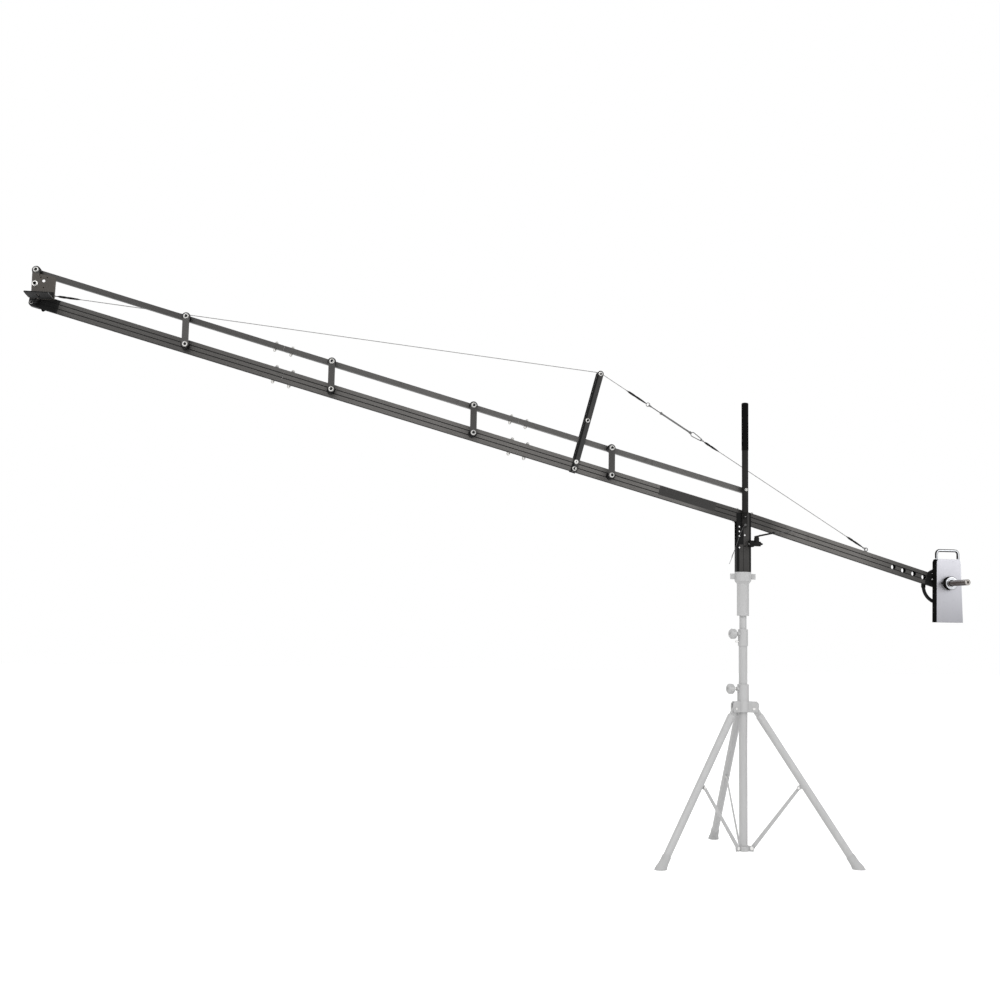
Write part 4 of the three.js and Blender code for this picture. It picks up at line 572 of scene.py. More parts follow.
# The boom's tube: three bands a side, parted by two grooves.
beam = {
    "height": 56.0, "width": 25.4, "wall": 2.6, "corner": 1.5, "groove": 3.6, "grooveDepth": 1.2,
    "grooveHeight": 9.0, "seam": 1.0, "edge": 0.25, "skin": 0.2,
    "holes": [705.0 + 48.5 * step for step in range(6)], "holeRadius": 10.7, "noseSetback": 18.0,
    # Both ends beyond these stations take the near-black coat; at the head it is a painted shadow.
    "darkEnds": (-2958.0, 862.0),
}
boomFace, barFace = beam["width"] / 2, 11.1
boomTop = beam["height"] / 2


def beamOutline():
    corner = beam["corner"]
    side = [(boomFace, -boomTop + corner)]
    for middle in (-beam["grooveHeight"], beam["grooveHeight"]):
        low, high, deep = middle - beam["groove"] / 2, middle + beam["groove"] / 2, boomFace - beam["grooveDepth"]
        side += [(boomFace, low), (deep, low), (deep, high), (boomFace, high)]
    side += [(boomFace, boomTop - corner), (boomFace - corner, boomTop)]
    return side + [(-y, -z) for y, z in side]


# Painted shade: the grooves, the hollow inside and the cut ends are painted darker than the bands,
# and both ends of the boom are painted black, the head end as the painted shadow of the camera plate.
def beamPiece(name, where, low, high, coat, holes=()):
    inner, rise = boomFace - beam["wall"], boomTop - beam["wall"]
    tools = [block((low - 5, high + 5), (-inner, inner), (-rise, rise))]
    tools += [bore("y", beam["holeRadius"], -20, 20, (x, 0, 0)) for x in holes]
    tube = combined(extruded(beamOutline(), "x", low, high), tools)
    tube = sliced(bevelled(tube, beam["edge"]), *(("x", edge) for edge in beam["darkEnds"]))
    bandFace, bandTop = boomFace - beam["skin"], boomTop - beam["skin"]
    marked(tube, lambda place, normal: abs(place.y) < bandFace and abs(place.z) < bandTop
           or not beam["darkEnds"][0] < place.x < beam["darkEnds"][1])
    piece(name, where, [(tube, coat, "groove")])


gap = beam["seam"] / 2
beamPiece("boom_fulcrum_section", boomFrame, gap - sectionLength, -gap, "beam")
beamPiece("boom_middle_section", boomFrame, gap - 2 * sectionLength, -sectionLength - gap, "beam")
beamPiece("boom_head_section", boomFrame, beam["noseSetback"] - headEnd, -2 * sectionLength - gap, "beam")
beamPiece("boom_tail_section", tailFrame, gap, sectionLength, "tail", beam["holes"])

# A bare dark film lies where a label would be, over the front face's grooves.
label = {
    "from": 131.0, "to": 388.0, "height": 39.0, "corner": 2.5, "rise": 5.0, "thickness": 0.25, "sunk": 0.05,
    "edge": 0.08,
}
labelMiddle = (label["from"] + label["to"]) / 2
labelOutline = [(x - labelMiddle, z + label["rise"])
                for x, z in rounded(label["to"] - label["from"], label["height"], label["corner"])]
film = extruded(labelOutline, "y", -boomFace - label["thickness"], -boomFace + label["sunk"])
piece("boom_label_film", boomFrame, [(bevelled(film, label["edge"]), "label")],
      body="boom")

# The control bar above the boom, in three lengths of square tube.
for section in ("fulcrum", "middle", "head"):
    name = f"bar_{section}_section"
    piece(name, Matrix.Identity(4), [(eased(name, 0.3), "bar")])
print("boom and bar made")


# Fasteners. A head is made on the Y axis and faces the front. Faces with their middle inside the socket's radius
# are marked: the socket's own and, where the cut leaves it nearly whole, the flat front.
def socketHead(radius, length, face, socket=0.34):
    profile = [(0, 0), (radius, 0), (radius, length * 0.65), (radius * 0.8, length), (0, length)]
    head = spun(profile, "y", steps=36, rounding=length * 0.12)
    key = extruded(polarOutline((0, 0), radius * socket, 6), "y", length * 0.35, length + 1)
    head = combined(head, [key])
    marked(head, lambda place, normal: math.hypot(place.x, place.z) < radius * socket)
    return moved(head, Matrix.Translation((0, face, 0)) @ Matrix.Rotation(math.pi, 4, "X"))


# The radius is across the flats, and a cone takes the corners off both ends.
def hexNut(axisName, radius, low, high, place=(0, 0, 0), turn=0.0):
    nut = extruded(polarOutline((0, 0), radius / math.cos(math.pi / 6), 6, turn), "z", low, high)
    flat, wide, ease = radius * 0.98, radius * 1.2, radius * 0.14
    cone = spun([(0, low), (flat, low), (wide, low + ease), (wide, high - ease), (flat, high), (0, high)], steps=36)
    nut = combined(nut, [cone], "INTERSECT")
    return moved(bevelled(nut, 0.15, 1), Matrix.Translation(place) @ turns[axisName])


def washer(axisName, inner, outer, low, high):
    return sleeve(axisName, inner, outer, low, high, (high - low) * 0.25)


hinge = {
    "linkBack": 42.9, "linkFront": 48.3, "linkHalf": 13.5, "plateFront": 52.6, "seat": 0.3, "shank": 4.0,
    "spacer": 17.0, "washer": 11.0, "washerThickness": 1.6, "head": 9.2, "headLength": 4.6, "nut": 6.8,
    "nutLength": 5.6, "tip": 2.0,
}


# A bolt through a plate in front of the boom or the bar, with its spacer, washer and nut.
def hingeBolt(name, where, face, plate=hinge["linkFront"], coat="zinc"):
    seat = hinge["seat"]
    front = -(plate + seat) - hinge["washerThickness"]
    rear = face + seat + hinge["nutLength"]
    piece(name, where, [
        (disc("y", hinge["spacer"], -hinge["linkBack"] + seat, -face - seat, rounding=1.2), "nylonAndPaintedShade"),
        (washer("y", hinge["shank"], hinge["washer"], front, -(plate + seat)), "washer" if coat == "zinc" else coat),
        (socketHead(hinge["head"], hinge["headLength"], front), coat, "shade"),
        (disc("y", hinge["shank"], front, rear + hinge["tip"], steps=24, rounding=0.8), coat),
        (hexNut("y", hinge["nut"], face + seat, rear), coat),
    ])


def strip(name, where, coat):
    outline = capsule((0, 0), (0, linkLength), hinge["linkHalf"])
    plate = extruded(outline, "y", -hinge["linkFront"], -hinge["linkBack"])
    piece(name, where, [(bevelled(plate, 0.5, 3), coat)])


for number in range(1, 5):
    station = headEnd * number / 5
    strip(f"link_{number}_plate", hanging(onBoom(station)), "link")
    hingeBolt(f"link_{number}_boom_pin", towardsHead(boomFrame, station), boomFace)
    hingeBolt(f"link_{number}_bar_pin", towardsHead(barFrame, station), barFace)
print("links made")

# Splice bars: only their dome nuts and washers show, above and below the seams.
spliceBolts = {
    "boom": {"radius": 6.4, "length": 13.0, "face": boomTop}, "bar": {"radius": 5.8, "length": 12.0, "face": barFace},
}
splicePitch = 68.0
spliceBars = {
    "boom": {"where": boomFrame, "reach": 80, "width": 19.4, "height": 50},
    "bar": {"where": barFrame, "reach": 65, "width": 17.4, "height": 17.4},
}


# Two dome nuts on their washers, above and below a place; the lower one is the longer.
def domeNuts(x, face, radius, length):
    parts = []
    for side, tall in ((-1, length), (1, length * 0.75)):
        base = hexNut("z", radius, 0.8, tall * 0.5, turn=0.3)
        disk = washer("z", radius * 0.5, radius * 1.25, 0, 0.8)
        seat = min(tall * 0.4, tall - radius)
        crown = [(wide, rise + tall - radius) for wide, rise in polarOutline((0, 0), radius, 7, 0, math.pi / 2)[:-1]]
        dome = spun([(0, seat), (radius, seat), *crown, (0, tall)], steps=28)
        # Painted shade: the dome's flanks take the washers' darker plate.
        marked(dome, lambda place, normal: abs(normal.y) < 0.75)
        flip = Matrix.Rotation(math.pi, 4, "X") if side < 0 else Matrix.Identity(4)
        for bm, coat in ((base, "washer"), (disk, "washer"), (dome, "zinc")):
            parts.append((moved(bm, Matrix.Translation((x, 0, side * (face + 0.3))) @ flip), coat, "washer"))
    return parts


for index, place in enumerate(("inner", "outer")):
    for kind, bar in spliceBars.items():
        halfWidth, halfHeight = bar["width"] / 2, bar["height"] / 2
        body = block((-bar["reach"], bar["reach"]), (-halfWidth, halfWidth), (-halfHeight, halfHeight))
        parts = [(bevelled(body, 0.5), "splice")]
        for side in (-1, 1):
            parts += domeNuts(side * splicePitch / 2, **spliceBolts[kind])
        piece(f"{kind}_splice_{place}", towardsHead(bar["where"], (index + 1) * sectionLength), parts)
piece("boom_splice_fulcrum", Matrix.Identity(4), [(eased("boom_splice_fulcrum", 0.2), "splice")])

# The nose that closes the boom's head end.
nose = {
    "radius": 28.0, "spigot": 70.0, "spigotHalf": (9.7, 25.0), "corner": (13.5, -15.5, 12.5), "nutsAt": 34.0,
    "nutLength": 7.0, "screwAt": (15.5, -15.0),
}
start, end = beam["noseSetback"] - 0.3 - headEnd, -headEnd
cornerBack, cornerRise, cornerRadius = nose["corner"]
capOutline = [(start, -nose["radius"]), (start, nose["radius"]),
              *polarOutline((end, 0), nose["radius"], 16, math.pi / 2, math.pi / 2),
              *polarOutline((end - cornerBack, cornerRise), cornerRadius, 10, math.pi, math.pi / 2)]
cap = bevelled(extruded(capOutline, "y", -boomFace, boomFace), 0.8, 3)
halfWidth, halfHeight = nose["spigotHalf"]
spigot = block((start, start + nose["spigot"]), (-halfWidth, halfWidth), (-halfHeight, halfHeight))
noseParts = [(cap, "black"), (spigot, "splice")]
noseParts += [(bm, "nylonAndPaintedShade") for bm, *rest in domeNuts(
    end + nose["nutsAt"], nose["radius"], spliceBolts["boom"]["radius"], nose["nutLength"])]
screwBack, screwRise = nose["screwAt"]
# Painted shade in the screw's socket.
noseParts.append((shifted(socketHead(6.6, 3.2, -boomFace), end - screwBack, 0, screwRise), "washer", "nylonAndPaintedShade"))
piece("boom_nose_block", boomFrame, noseParts)

# The head: a long strip, a plate with holes, and the camera's shelf.
head = {
    "outline": [(-12, -5), (78, -5), (80, 87), (-12, 102)], "back": 48.6, "mainHole": (33.1, 69.7, 6.0),
    "holes": [(16.9, 92.5), (21.7, 83.3), (46.1, 83.5), (32.9, 42.4)], "holeRadius": 2.4, "boltAt": 57.5,
}
headFrame = hanging(onBoom(headEnd))
hingeBolt("head_boom_pin", towardsHead(boomFrame, headEnd), boomFace, hinge["plateFront"], "black")
hingeBolt("head_bar_pin", towardsHead(barFrame, headEnd), barFace)
strip("head_link", headFrame, "strut")
mainX, mainZ, mainRadius = head["mainHole"]
plateTools = [bore("y", head["holeRadius"], -60, -40, (x, 0, z), 20) for x, z in head["holes"]]
plateTools.append(bore("y", mainRadius, -60, -40, (mainX, 0, mainZ)))
headPlate = combined(extruded(head["outline"], "y", -hinge["plateFront"], -head["back"]), plateTools)
boltFront = -hinge["plateFront"] - hinge["washerThickness"]
headParts = [
    (bevelled(headPlate, 0.4), "plate"),
    (shifted(washer("y", hinge["shank"], hinge["washer"], boltFront, -hinge["plateFront"]), 0, 0, head["boltAt"]),
     "zinc"),
    # Painted shade in the bolt's socket.
    (shifted(socketHead(hinge["head"], hinge["headLength"], boltFront, 0.45), 0, 0, head["boltAt"]), "zinc", "nylonAndPaintedShade"),
    (shifted(hexNut("y", hinge["nut"], -42.6, -37), 0, 0, head["boltAt"]), "zinc"),
    (disc("y", hinge["shank"], boltFront, -36, (0, 0, head["boltAt"]), 24), "zinc"),
]
# Painted shade: thin dark discs close the small holes behind.
headParts += [(disc("y", 2.6, -49.6, -48.4, (x, 0, z), 20, 0.2), "nylonAndPaintedShade") for x, z in head["holes"]]
piece("head_plate", headFrame, headParts)

shelf = {
    "x": (-18.0, 74.0), "y": (-158.9, -52.9), "z": (-5.0, -0.5), "corner": 6.0, "flangeX": 18.0, "flangeTop": 25.0,
    "thickness": 4.0, "slot": (-128.9, -82.9), "slotRadius": 5.0, "screws": [(32.0, 18.5), (60.0, 18.5)],
}
(left, right), (front, back), (bottom, top) = shelf["x"], shelf["y"], shelf["z"]
middle = (left + right) / 2
boardOutline = [(x + middle, y + (front + back) / 2)
                for x, y in rounded(right - left, back - front, shelf["corner"])]
board = extruded(boardOutline, "z", bottom, top)
flange = block((shelf["flangeX"], right), (back - shelf["thickness"], back), (bottom, shelf["flangeTop"]))
square = block((shelf["flangeX"], right), (-61, back), (bottom, top))
slotTool = extruded(capsule((middle, shelf["slot"][0]), (middle, shelf["slot"][1]), shelf["slotRadius"]), "z", -9, 4)
notch = block((-20, shelf["flangeX"]), (-67.9, -50), (-9, 26))
shelfMesh = combined(combined(board, [flange, square], "UNION"), [slotTool, notch])
# Painted shade: the shelf's underside takes the darkest coat.
marked(bevelled(shelfMesh, 0.5), lambda place, normal: normal.z < -0.5)
shelfParts = [(shelfMesh, "blackAndPaintedShade", "nylonAndPaintedShade")]
for x, z in shelf["screws"]:
    shelfParts.append((shifted(socketHead(4.5, 2.5, back - shelf["thickness"], 0.5), x, 0, z), "black", "shade"))
piece("camera_plate", headFrame, shelfParts)
print("head made")

# The strut: two round-topped plates, bolts with bright heads, a spacer and the grooved roller.
strut = {
    "station": 765.0, "half": 13.5, "inner": 13.2, "outer": 18.0, "top": 409.0, "foot": -29.0,
    "bolts": [-15.0, 15.0, 199.0, 409.0], "band": 8.5,
}
strutFrame = towardsHead(boomFrame, strut["station"])


def strutPlate(low, high):
    half = strut["half"]
    outline = [(-half, strut["foot"]), (half, strut["foot"]),
               *polarOutline((0, strut["top"]), half, 24, 0, math.pi)]
    return bevelled(extruded(outline, "y", low, high), 0.45, 3)


# Painted shade: the front plate's left band and the whole rear plate take the near-black coat.
paintedShadeEdge = strut["band"] - strut["half"]
frontPlate = sliced(strutPlate(-strut["outer"], -strut["inner"]), ("x", paintedShadeEdge))
marked(frontPlate, lambda place, normal: place.x < paintedShadeEdge)
frontParts = [(frontPlate, "strut", "blackAndPaintedShade")]
for z in strut["bolts"]:
    frontParts += [
        (shifted(washer("y", 3, 9.6, -18.9, -strut["outer"]), 0, 0, z), "washer"),
        (shifted(socketHead(8.2, 3.1, -18.9), 0, 0, z), "zinc", "shade"),
        (disc("y", 3, -19, 22.3, (0, 0, z), 20), "zinc"),
        (shifted(hexNut("y", 5.6, 18.3, 22.3), 0, 0, z), "zinc"),
    ]
frontParts.append((disc("y", 7, -strut["inner"], 12.9, (0, 0, strut["bolts"][2]), 28, 0.5), "nylonAndPaintedShade"))
piece("strut_front_plate", strutFrame, frontParts)
piece("strut_rear_plate", strutFrame, [(strutPlate(strut["inner"], strut["outer"]), "blackAndPaintedShade")])
roller = {"radius": 11.5, "grooveRadius": 8.0, "y": 8.0, "bore": 4.2, "end": 12.9}
rollerProfile = [
    (roller["bore"], -roller["end"]), (roller["radius"], -roller["end"]), (roller["radius"], roller["y"] - 3),
    (roller["grooveRadius"], roller["y"] - 1.5), (roller["grooveRadius"], roller["y"] + 1.5),
    (roller["radius"], roller["y"] + 3), (roller["radius"], roller["end"]), (roller["bore"], roller["end"]),
]
piece("strut_roller", strutFrame @ Matrix.Translation((0, 0, strut["top"])),
      [(spun(rollerProfile, "y", closed=True, rounding=0.3), "nylonAndPaintedShade")])
print("strut made")

# The taut stay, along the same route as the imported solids. Its distances run from the lug or the roller.
stay = {
    "wire": 1.5, "sleeve": 4.8, "loop": 8.0, "eye": 7.0, "eyeWire": 2.0, "lay": 24.0,
    "lug": (-3008.0, 17.0, 40.5), "eyeStation": 570.0, "eyeRise": 37.0, "wirePath": 9.8,
    "lugSleeve": (29.0, 107.0), "frontSleeve": (143.0, 229.0), "turnbuckle": 245.0, "bodyLength": 153.0,
    "looseRear": 14.0,
}
knee = math.radians(slopes["tail"] - slopes["boom"])
lugPlace = Vector(stay["lug"])
eyePlace = Vector((
    stay["eyeStation"] * math.cos(knee) + stay["eyeRise"] * math.sin(knee), 0,
    -stay["eyeStation"] * math.sin(knee) + stay["eyeRise"] * math.cos(knee)))


def rollerPoint(angle):
    return Vector((-strut["station"] + stay["wirePath"] * math.cos(angle), roller["y"],
                   strut["top"] + stay["wirePath"] * math.sin(angle)))


def tangentAngle(place, side):
    dx, dz = place.x + strut["station"], place.z - strut["top"]
    return (math.atan2(dz, dx) + side * math.acos(stay["wirePath"] / math.hypot(dx, dz))) % (2 * math.pi)


frontAngle, rearAngle = tangentAngle(lugPlace, -1), tangentAngle(eyePlace, 1)
frontDirection = (rollerPoint(frontAngle) - lugPlace).normalized()
rearStart = rollerPoint(rearAngle)
rearDirection = (eyePlace - rearStart).normalized()
rearLength = (eyePlace - rearStart).length
hook = stay["loop"] - stay["wire"] + stay["eye"] - stay["eyeWire"] - 0.3
across = Vector((0, 1, 0))
frontLoop = stay["frontSleeve"][1] + 8 + stay["loop"]
frontEye = frontLoop + hook
rearEye = frontEye + stay["turnbuckle"]
rearLoop = rearEye + hook


def alongLug(distance):
    return lugPlace + frontDirection * distance


def alongRear(distance):
    return rearStart + rearDirection * distance


def aligned(start, direction):
    return Matrix.Translation(start) @ direction.to_track_quat("Z", "Y").to_matrix().to_4x4()


# A shrunk sleeve over the doubled wire: waisted, tapered at both ends, with the splice's lump inside.
def shrunkSleeve(place, low, high):
    start, end = place(low), place(high)
    length = (end - start).length
    wide, slim = stay["sleeve"], stay["wire"] + 0.35
    profile = [(0, -8), (slim, -8), (slim + 0.2, -2), (wide * 0.9, 5), (wide, length * 0.3),
               (wide * 0.8, length * 0.42), (wide * 0.95, length * 0.6), (wide * 0.7, length - 4),
               (slim, length + 6), (slim, length + 8), (0, length + 8)]
    return moved(spun(profile, steps=20), aligned(start, (end - start).normalized())), "sleeve"


def cable(*points):
    return piped(points, stay["wire"], lay=stay["lay"]), "wire"


def wireLoop(middle, first, second, kind="loop"):
    wire = stay["wire"] if kind == "loop" else stay["eyeWire"]
    return piped(loopPoints(middle, first, second, stay[kind]), wire, True, 12), "eyes"


rollerBend = [rollerPoint(frontAngle + (rearAngle - frontAngle) * step / 10) for step in range(11)]
acrossFront = frontDirection.cross(across.cross(frontDirection)).normalized()
aboveRear = rearDirection.cross(across)
piece("stay_front_cable", boomFrame, [
    cable(alongLug(hook + stay["loop"]), *rollerBend),
    cable(rollerBend[-1], alongRear(frontLoop - stay["loop"])),
    wireLoop(alongLug(hook), frontDirection, acrossFront),
    shrunkSleeve(alongLug, *stay["lugSleeve"]),
    shrunkSleeve(alongRear, *stay["frontSleeve"]),
    wireLoop(alongRear(frontLoop), rearDirection, aboveRear),
])
wireStart, wireEnd = rearLoop + stay["loop"] + stay["looseRear"], rearLength - hook - stay["loop"]
piece("stay_rear_cable", boomFrame, [
    wireLoop(alongRear(rearLoop + stay["looseRear"]), rearDirection, across),
    cable(alongRear(wireStart), alongRear(wireEnd)),
    shrunkSleeve(alongRear, wireStart + 6, wireStart + 70),
    shrunkSleeve(alongRear, wireEnd - 78, wireEnd - 8),
    wireLoop(alongRear(rearLength - hook), rearDirection, across),
])

# The turnbuckle: a slim body between two threaded eyes, with a hex at each end.
buckle = {
    "body": 4.0, "waist": 3.7, "bore": 2.6, "rod": 2.3, "nut": 5.2, "nutLength": 9.0, "thread": 1.25,
    "shift": (6.0, 13.0), "thimble": (9.0, 4.5),
}


def threadedRod(low, high):
    profile = [(0, low)]
    count = int((high - low) / buckle["thread"])
    for step in range(count):
        z = low + (high - low) * step / count
        profile += [(buckle["rod"] - 0.25, z), (buckle["rod"] + 0.2, z + buckle["thread"] / 2)]
    return spun([*profile, (buckle["rod"], high), (0, high)], steps=14)


buckleMiddle, halfBody = (frontEye + rearEye) / 2, stay["bodyLength"] / 2
low, high = buckleMiddle - halfBody + buckle["shift"][0], buckleMiddle + halfBody + buckle["shift"][1]
body, waist, inner = buckle["body"], buckle["waist"], buckle["bore"]
bodyProfile = [(inner, low + 6), (body, low + 6), (waist, low + 30), (body, buckleMiddle), (waist, high - 30),
               (body, high - 6), (inner, high - 6)]
# The rear eye is a long loop: round at the body, narrow where the cable's loop pulls on it.
wide, slim = buckle["thimble"]
thimble = []
for middle, radius, turn in (
        (high + wide + 1, wide, math.pi / 2), (rearEye + stay["eye"] + 15 - slim, slim, -math.pi / 2)):
    for x, z in polarOutline((0, 0), radius, 14, turn, math.pi):
        thimble.append(alongRear(middle + x) + aboveRear * z)
onRear = aligned(rearStart, rearDirection)
buckleParts = [
    spun(bodyProfile, closed=True, steps=24), threadedRod(frontEye + stay["eye"] - 1, low + 12),
    hexNut("z", buckle["nut"], low, low + buckle["nutLength"]),
    hexNut("z", buckle["nut"], high - buckle["nutLength"], high),
]
piece("stay_turnbuckle", boomFrame, [
    *((moved(bm, onRear), "eyes") for bm in buckleParts),
    wireLoop(alongRear(frontEye), rearDirection, across, "eye"),
    (piped(thimble, stay["eyeWire"], True, 12), "eyes"),
])

# The lug behind the head end, and the eye bolt in the tail.
lugX, lugY, lugZ = stay["lug"]
lugPlate = extruded(capsule((0, -7), (0, lugZ), 11), "y", lugY - 1.5, lugY + 1.5)
lugPlate = combined(lugPlate, [bore("y", 5.2, 10, 25, (0, 0, lugZ))])
lugParts = [(bevelled(lugPlate, 0.4), "black")]
for z in (12, -8):
    lugParts.append((disc("y", 5.5, 13, 15.6, (0, 0, z), 28, 0.3), "black"))
    rearward = Matrix.Translation((0, 18.4, z)) @ Matrix.Rotation(math.pi, 4, "X")
    lugParts.append((moved(socketHead(4.5, 3, 0, 0.5), rearward), "zinc", "shade"))
piece("stay_lug", boomFrame @ Matrix.Translation((lugX, 0, 0)), lugParts)
piece("stay_tail_eye", towardsHead(tailFrame, -stay["eyeStation"]), [
    (disc("z", 3, 21, 31, steps=20), "eyes"),
    (hexNut("z", 5.6, 28.3, 31.8), "eyes"),
    wireLoop((0, 0, stay["eyeRise"]), (1, 0, 0), (0, 0, 1), "eye"),
])
print("stay made")

# The bracket: a rounded channel that holds the boom between two cheeks, open above and at the back.
bracket = {
    "width": 65.0, "depth": 38.0, "wall": 4.0, "corner": 8.0, "low": -234.7, "high": 17.0, "slot": 13.2,
    "slotBottom": -130.0, "floor": 20.0, "spigot": (10.0, 45.0), "pinHole": 6.2, "dark": 22.0, "hole": 3.6,
    "holes": [(-21.0, -42.0), (-21.0, -62.0), (-21.0, -81.9), (-21.0, -131.0),
              (3.0, -15.0), (3.0, -77.9), (3.0, -125.1)],
    "window": ((-14.0, 20.0), (-112.0, -30.0)), "lowHole": (-7.5, -131.0, 8.0),
    "seam": (-5.0, -3.0, -118.0),
}
wall = bracket["wall"]
hollowOutline = rounded(bracket["width"] - 2 * wall, bracket["depth"] - 2 * wall, bracket["corner"] - wall, 7)
lowX, lowZ, lowRadius = bracket["lowHole"]
channelTools = [
    extruded(hollowOutline, "z", bracket["low"] + bracket["floor"], bracket["high"] + 5),
    block((-60, 60), (-bracket["slot"], bracket["slot"]), (bracket["slotBottom"], 30)),
    block(bracket["window"][0], (0, 40), bracket["window"][1]),
    bore("y", bracket["pinHole"], -40, 40),
    bore("y", lowRadius, 0, 40, (lowX, 0, lowZ)),
    *(bore("y", bracket["hole"], -40, 0, (x, 0, z), 24) for x, z in bracket["holes"]),
]
channelOutline = rounded(bracket["width"], bracket["depth"], bracket["corner"], 9)
channel = combined(extruded(channelOutline, "z", bracket["low"], bracket["high"]), channelTools)
bevelled(channel, 0.35, 2, 35)
dark, (shadeStripLeft, shadeStripRight, shadeLow) = bracket["dark"], bracket["seam"]
sliced(channel, ("x", -dark), ("x", dark), ("x", shadeStripLeft), ("x", shadeStripRight), ("z", shadeLow))
# Painted shade: the sides, the inside, the front's upper left and a strip beside it are painted darker than the rest.
marked(channel, lambda place, normal: abs(place.x) > dark or place.y > -18.5
       or place.x < shadeStripRight and place.z > shadeLow or shadeStripLeft < place.x < shadeStripRight)
spindleLug = combined(block((17, 33.5), (-46, -17), (-129, -101)), [bore("x", 4.35, 10, 40, (0, -32, -115), 28)])
spigotRadius, spigotLength = bracket["spigot"]
piece("fulcrum_bracket", fulcrumFrame, [
    (channel, "bracket", "blackAndPaintedShade"), (bevelled(spindleLug, 0.8, 3), "blackAndPaintedShade"),
    (disc("z", spigotRadius, bracket["low"] - spigotLength, bracket["low"] + 1, rounding=0.6), "zinc"),
])

# The mast on its foot, with a foam grip over the upper end.
mast = {
    "y": -30.0, "radius": 13.6, "top": 492.0, "grip": 207.0, "gripRadius": 14.8, "foot": (-27.3, -19.3),
    "footHalf": 11.0, "footSpan": (-36.0, 32.0),
}
footOutline = capsule(*((0, z) for z in mast["footSpan"]), mast["footHalf"])
tube = disc("z", mast["radius"], 17.3, mast["top"] - 6, rounding=0.5, steps=48)
piece("mast", fulcrumFrame, [
    (shifted(tube, 0, mast["y"]), "mast"), (bevelled(extruded(footOutline, "y", *mast["foot"]), 0.8, 3), "mast"),
])
radius, top, gripLow = mast["gripRadius"], mast["top"], mast["top"] - mast["grip"]
gripProfile = [(mast["radius"] - 1, gripLow), (radius - 1.2, gripLow), (radius, gripLow + 1.2)]
for step in range(1, 12):  # the foam swells a little between the places where hands press it
    share = step / 12
    gripProfile.append((radius - 0.12 - 0.12 * math.cos(share * 6 * math.pi), gripLow + share * (mast["grip"] - 6)))
gripProfile += [(radius, top - 5), (radius - 1.6, top - 1.4), (radius - 5, top), (0, top)]
grip = piece("mast_grip", fulcrumFrame, [(shifted(spun(gripProfile, steps=48), 0, mast["y"]), "foam")],
             body="fulcrum")

# Pins through the bracket, the mast's foot and the bar.
piece("tilt_pin", fulcrumFrame, [
    (disc("y", 6, -33.2, 30.3, steps=32, rounding=0.6), "black"),
    # Painted glint: a small bright disc in the middle of the black head.
    (disc("y", 1.8, -34, -33, steps=24, rounding=0.3), "washer"),
    (moved(hexNut("z", 8.3, 27.6, 33.6), Matrix.Rotation(math.pi / 2, 4, "X")), "black"),
    (hexNut("y", 8.7, 19.3, 27.3), "zinc"),
])
piece("bar_pivot_pin", hanging(pivot + Vector((0, 0, linkLength * millimetre))), [
    (disc("y", 4, -48.5, 19, steps=24, rounding=0.5), "zinc"),
    (socketHead(6.8, 4.6, -43.9, 0.42), "zinc", "shade"),
    (disc("y", 9, -16.1, -11.4, rounding=0.6), "nylonAndPaintedShade"),
    (hexNut("y", 5.9, 11.4, 17), "zinc"),
])

# The locking pin through the foot, with its thin sprung wire hanging to the lower left.
clip = {
    "y": -34.0, "z": -35.0, "wire": 0.9,
    "route": [(0, -35), (-12, -48), (-27, -85), (-49, -145), (-58, -172), (-72, -203)],
    "prong": [(-49, -145), (-55, -158), (-63, -176)],
}
clipParts = [
    (disc("y", 3, -34, -16, (0, 0, clip["z"]), 20, 0.4), "clip"),
    (hexNut("y", 4.8, -34.8, -27.6, (0, 0, clip["z"])), "clip"),
]
for route in (clip["route"], clip["prong"]):
    clipParts.append((piped([(x, clip["y"], z) for x, z in route], clip["wire"], sides=12), "clip"))
piece("locking_clip", fulcrumFrame, clipParts)

# The tilt brake: spindle, knurled body with a pointed end, post and cranked lever.
brake = {
    "place": (0, -32.0, -115.0), "body": (33.8, 66.3), "radius": 10.5, "neck": 9.6, "tip": 11.0,
    "post": (50.0, 11.0, 34.0), "lever": 3.8, "reach": (126.0, 49.0), "knob": 5.5, "tail": (218.0, 60.0),
    "tailRadius": 1.6,
}
(low, high), radius, neck = brake["body"], brake["radius"], brake["neck"]
brakeProfile = [(0, low), (radius - 1.5, low), (radius, low + 1.5), (radius, low + 9), (neck, low + 10),
                (neck, low + 12), (radius, low + 13), (radius, high), (radius - 2, high + 1), (radius - 4, high + 2),
                (2.5, high + brake["tip"]), (0, high + brake["tip"])]
knobHalf = brake["knob"]
knob = spun([(0, -knobHalf), (3.6, -4.2), (5.3, -1.5), (5.3, 1.5), (3.6, 4.2), (0, knobHalf)], steps=24, rounding=0.6)
postX, postRadius, postHigh = brake["post"]
postProfile = [(0, 0), (postRadius, 0), (postRadius, postHigh - 9), (postRadius - 1.5, postHigh - 7.5),
               (postRadius - 1.5, postHigh - 1), (postRadius - 3, postHigh), (0, postHigh)]
leverEnd = (brake["reach"][0], 0, brake["reach"][1])
leverRoute = [(postX - 4, 0, postHigh - 3), (postX + 6, 0, postHigh - 1), (postX + 16, 0, postHigh + 2), leverEnd]
piece("tilt_brake_lever", hanging(fulcrumFrame @ Vector(brake["place"])), [
    (disc("x", 4, 15, low + 2, steps=24, rounding=0.5), "zinc"),
    (spun(brakeProfile, "x", steps=40), "black"),
    (spun(postProfile, "z", (postX, 0, 0), 40, rounding=0.4), "black"),
    (piped(leverRoute, brake["lever"], sides=20), "black"),
    (shifted(knob, *leverEnd), "black"),
    (piped([leverEnd, (brake["tail"][0], 0, brake["tail"][1])], brake["tailRadius"], sides=12), "clip"),
])
print("fulcrum made")

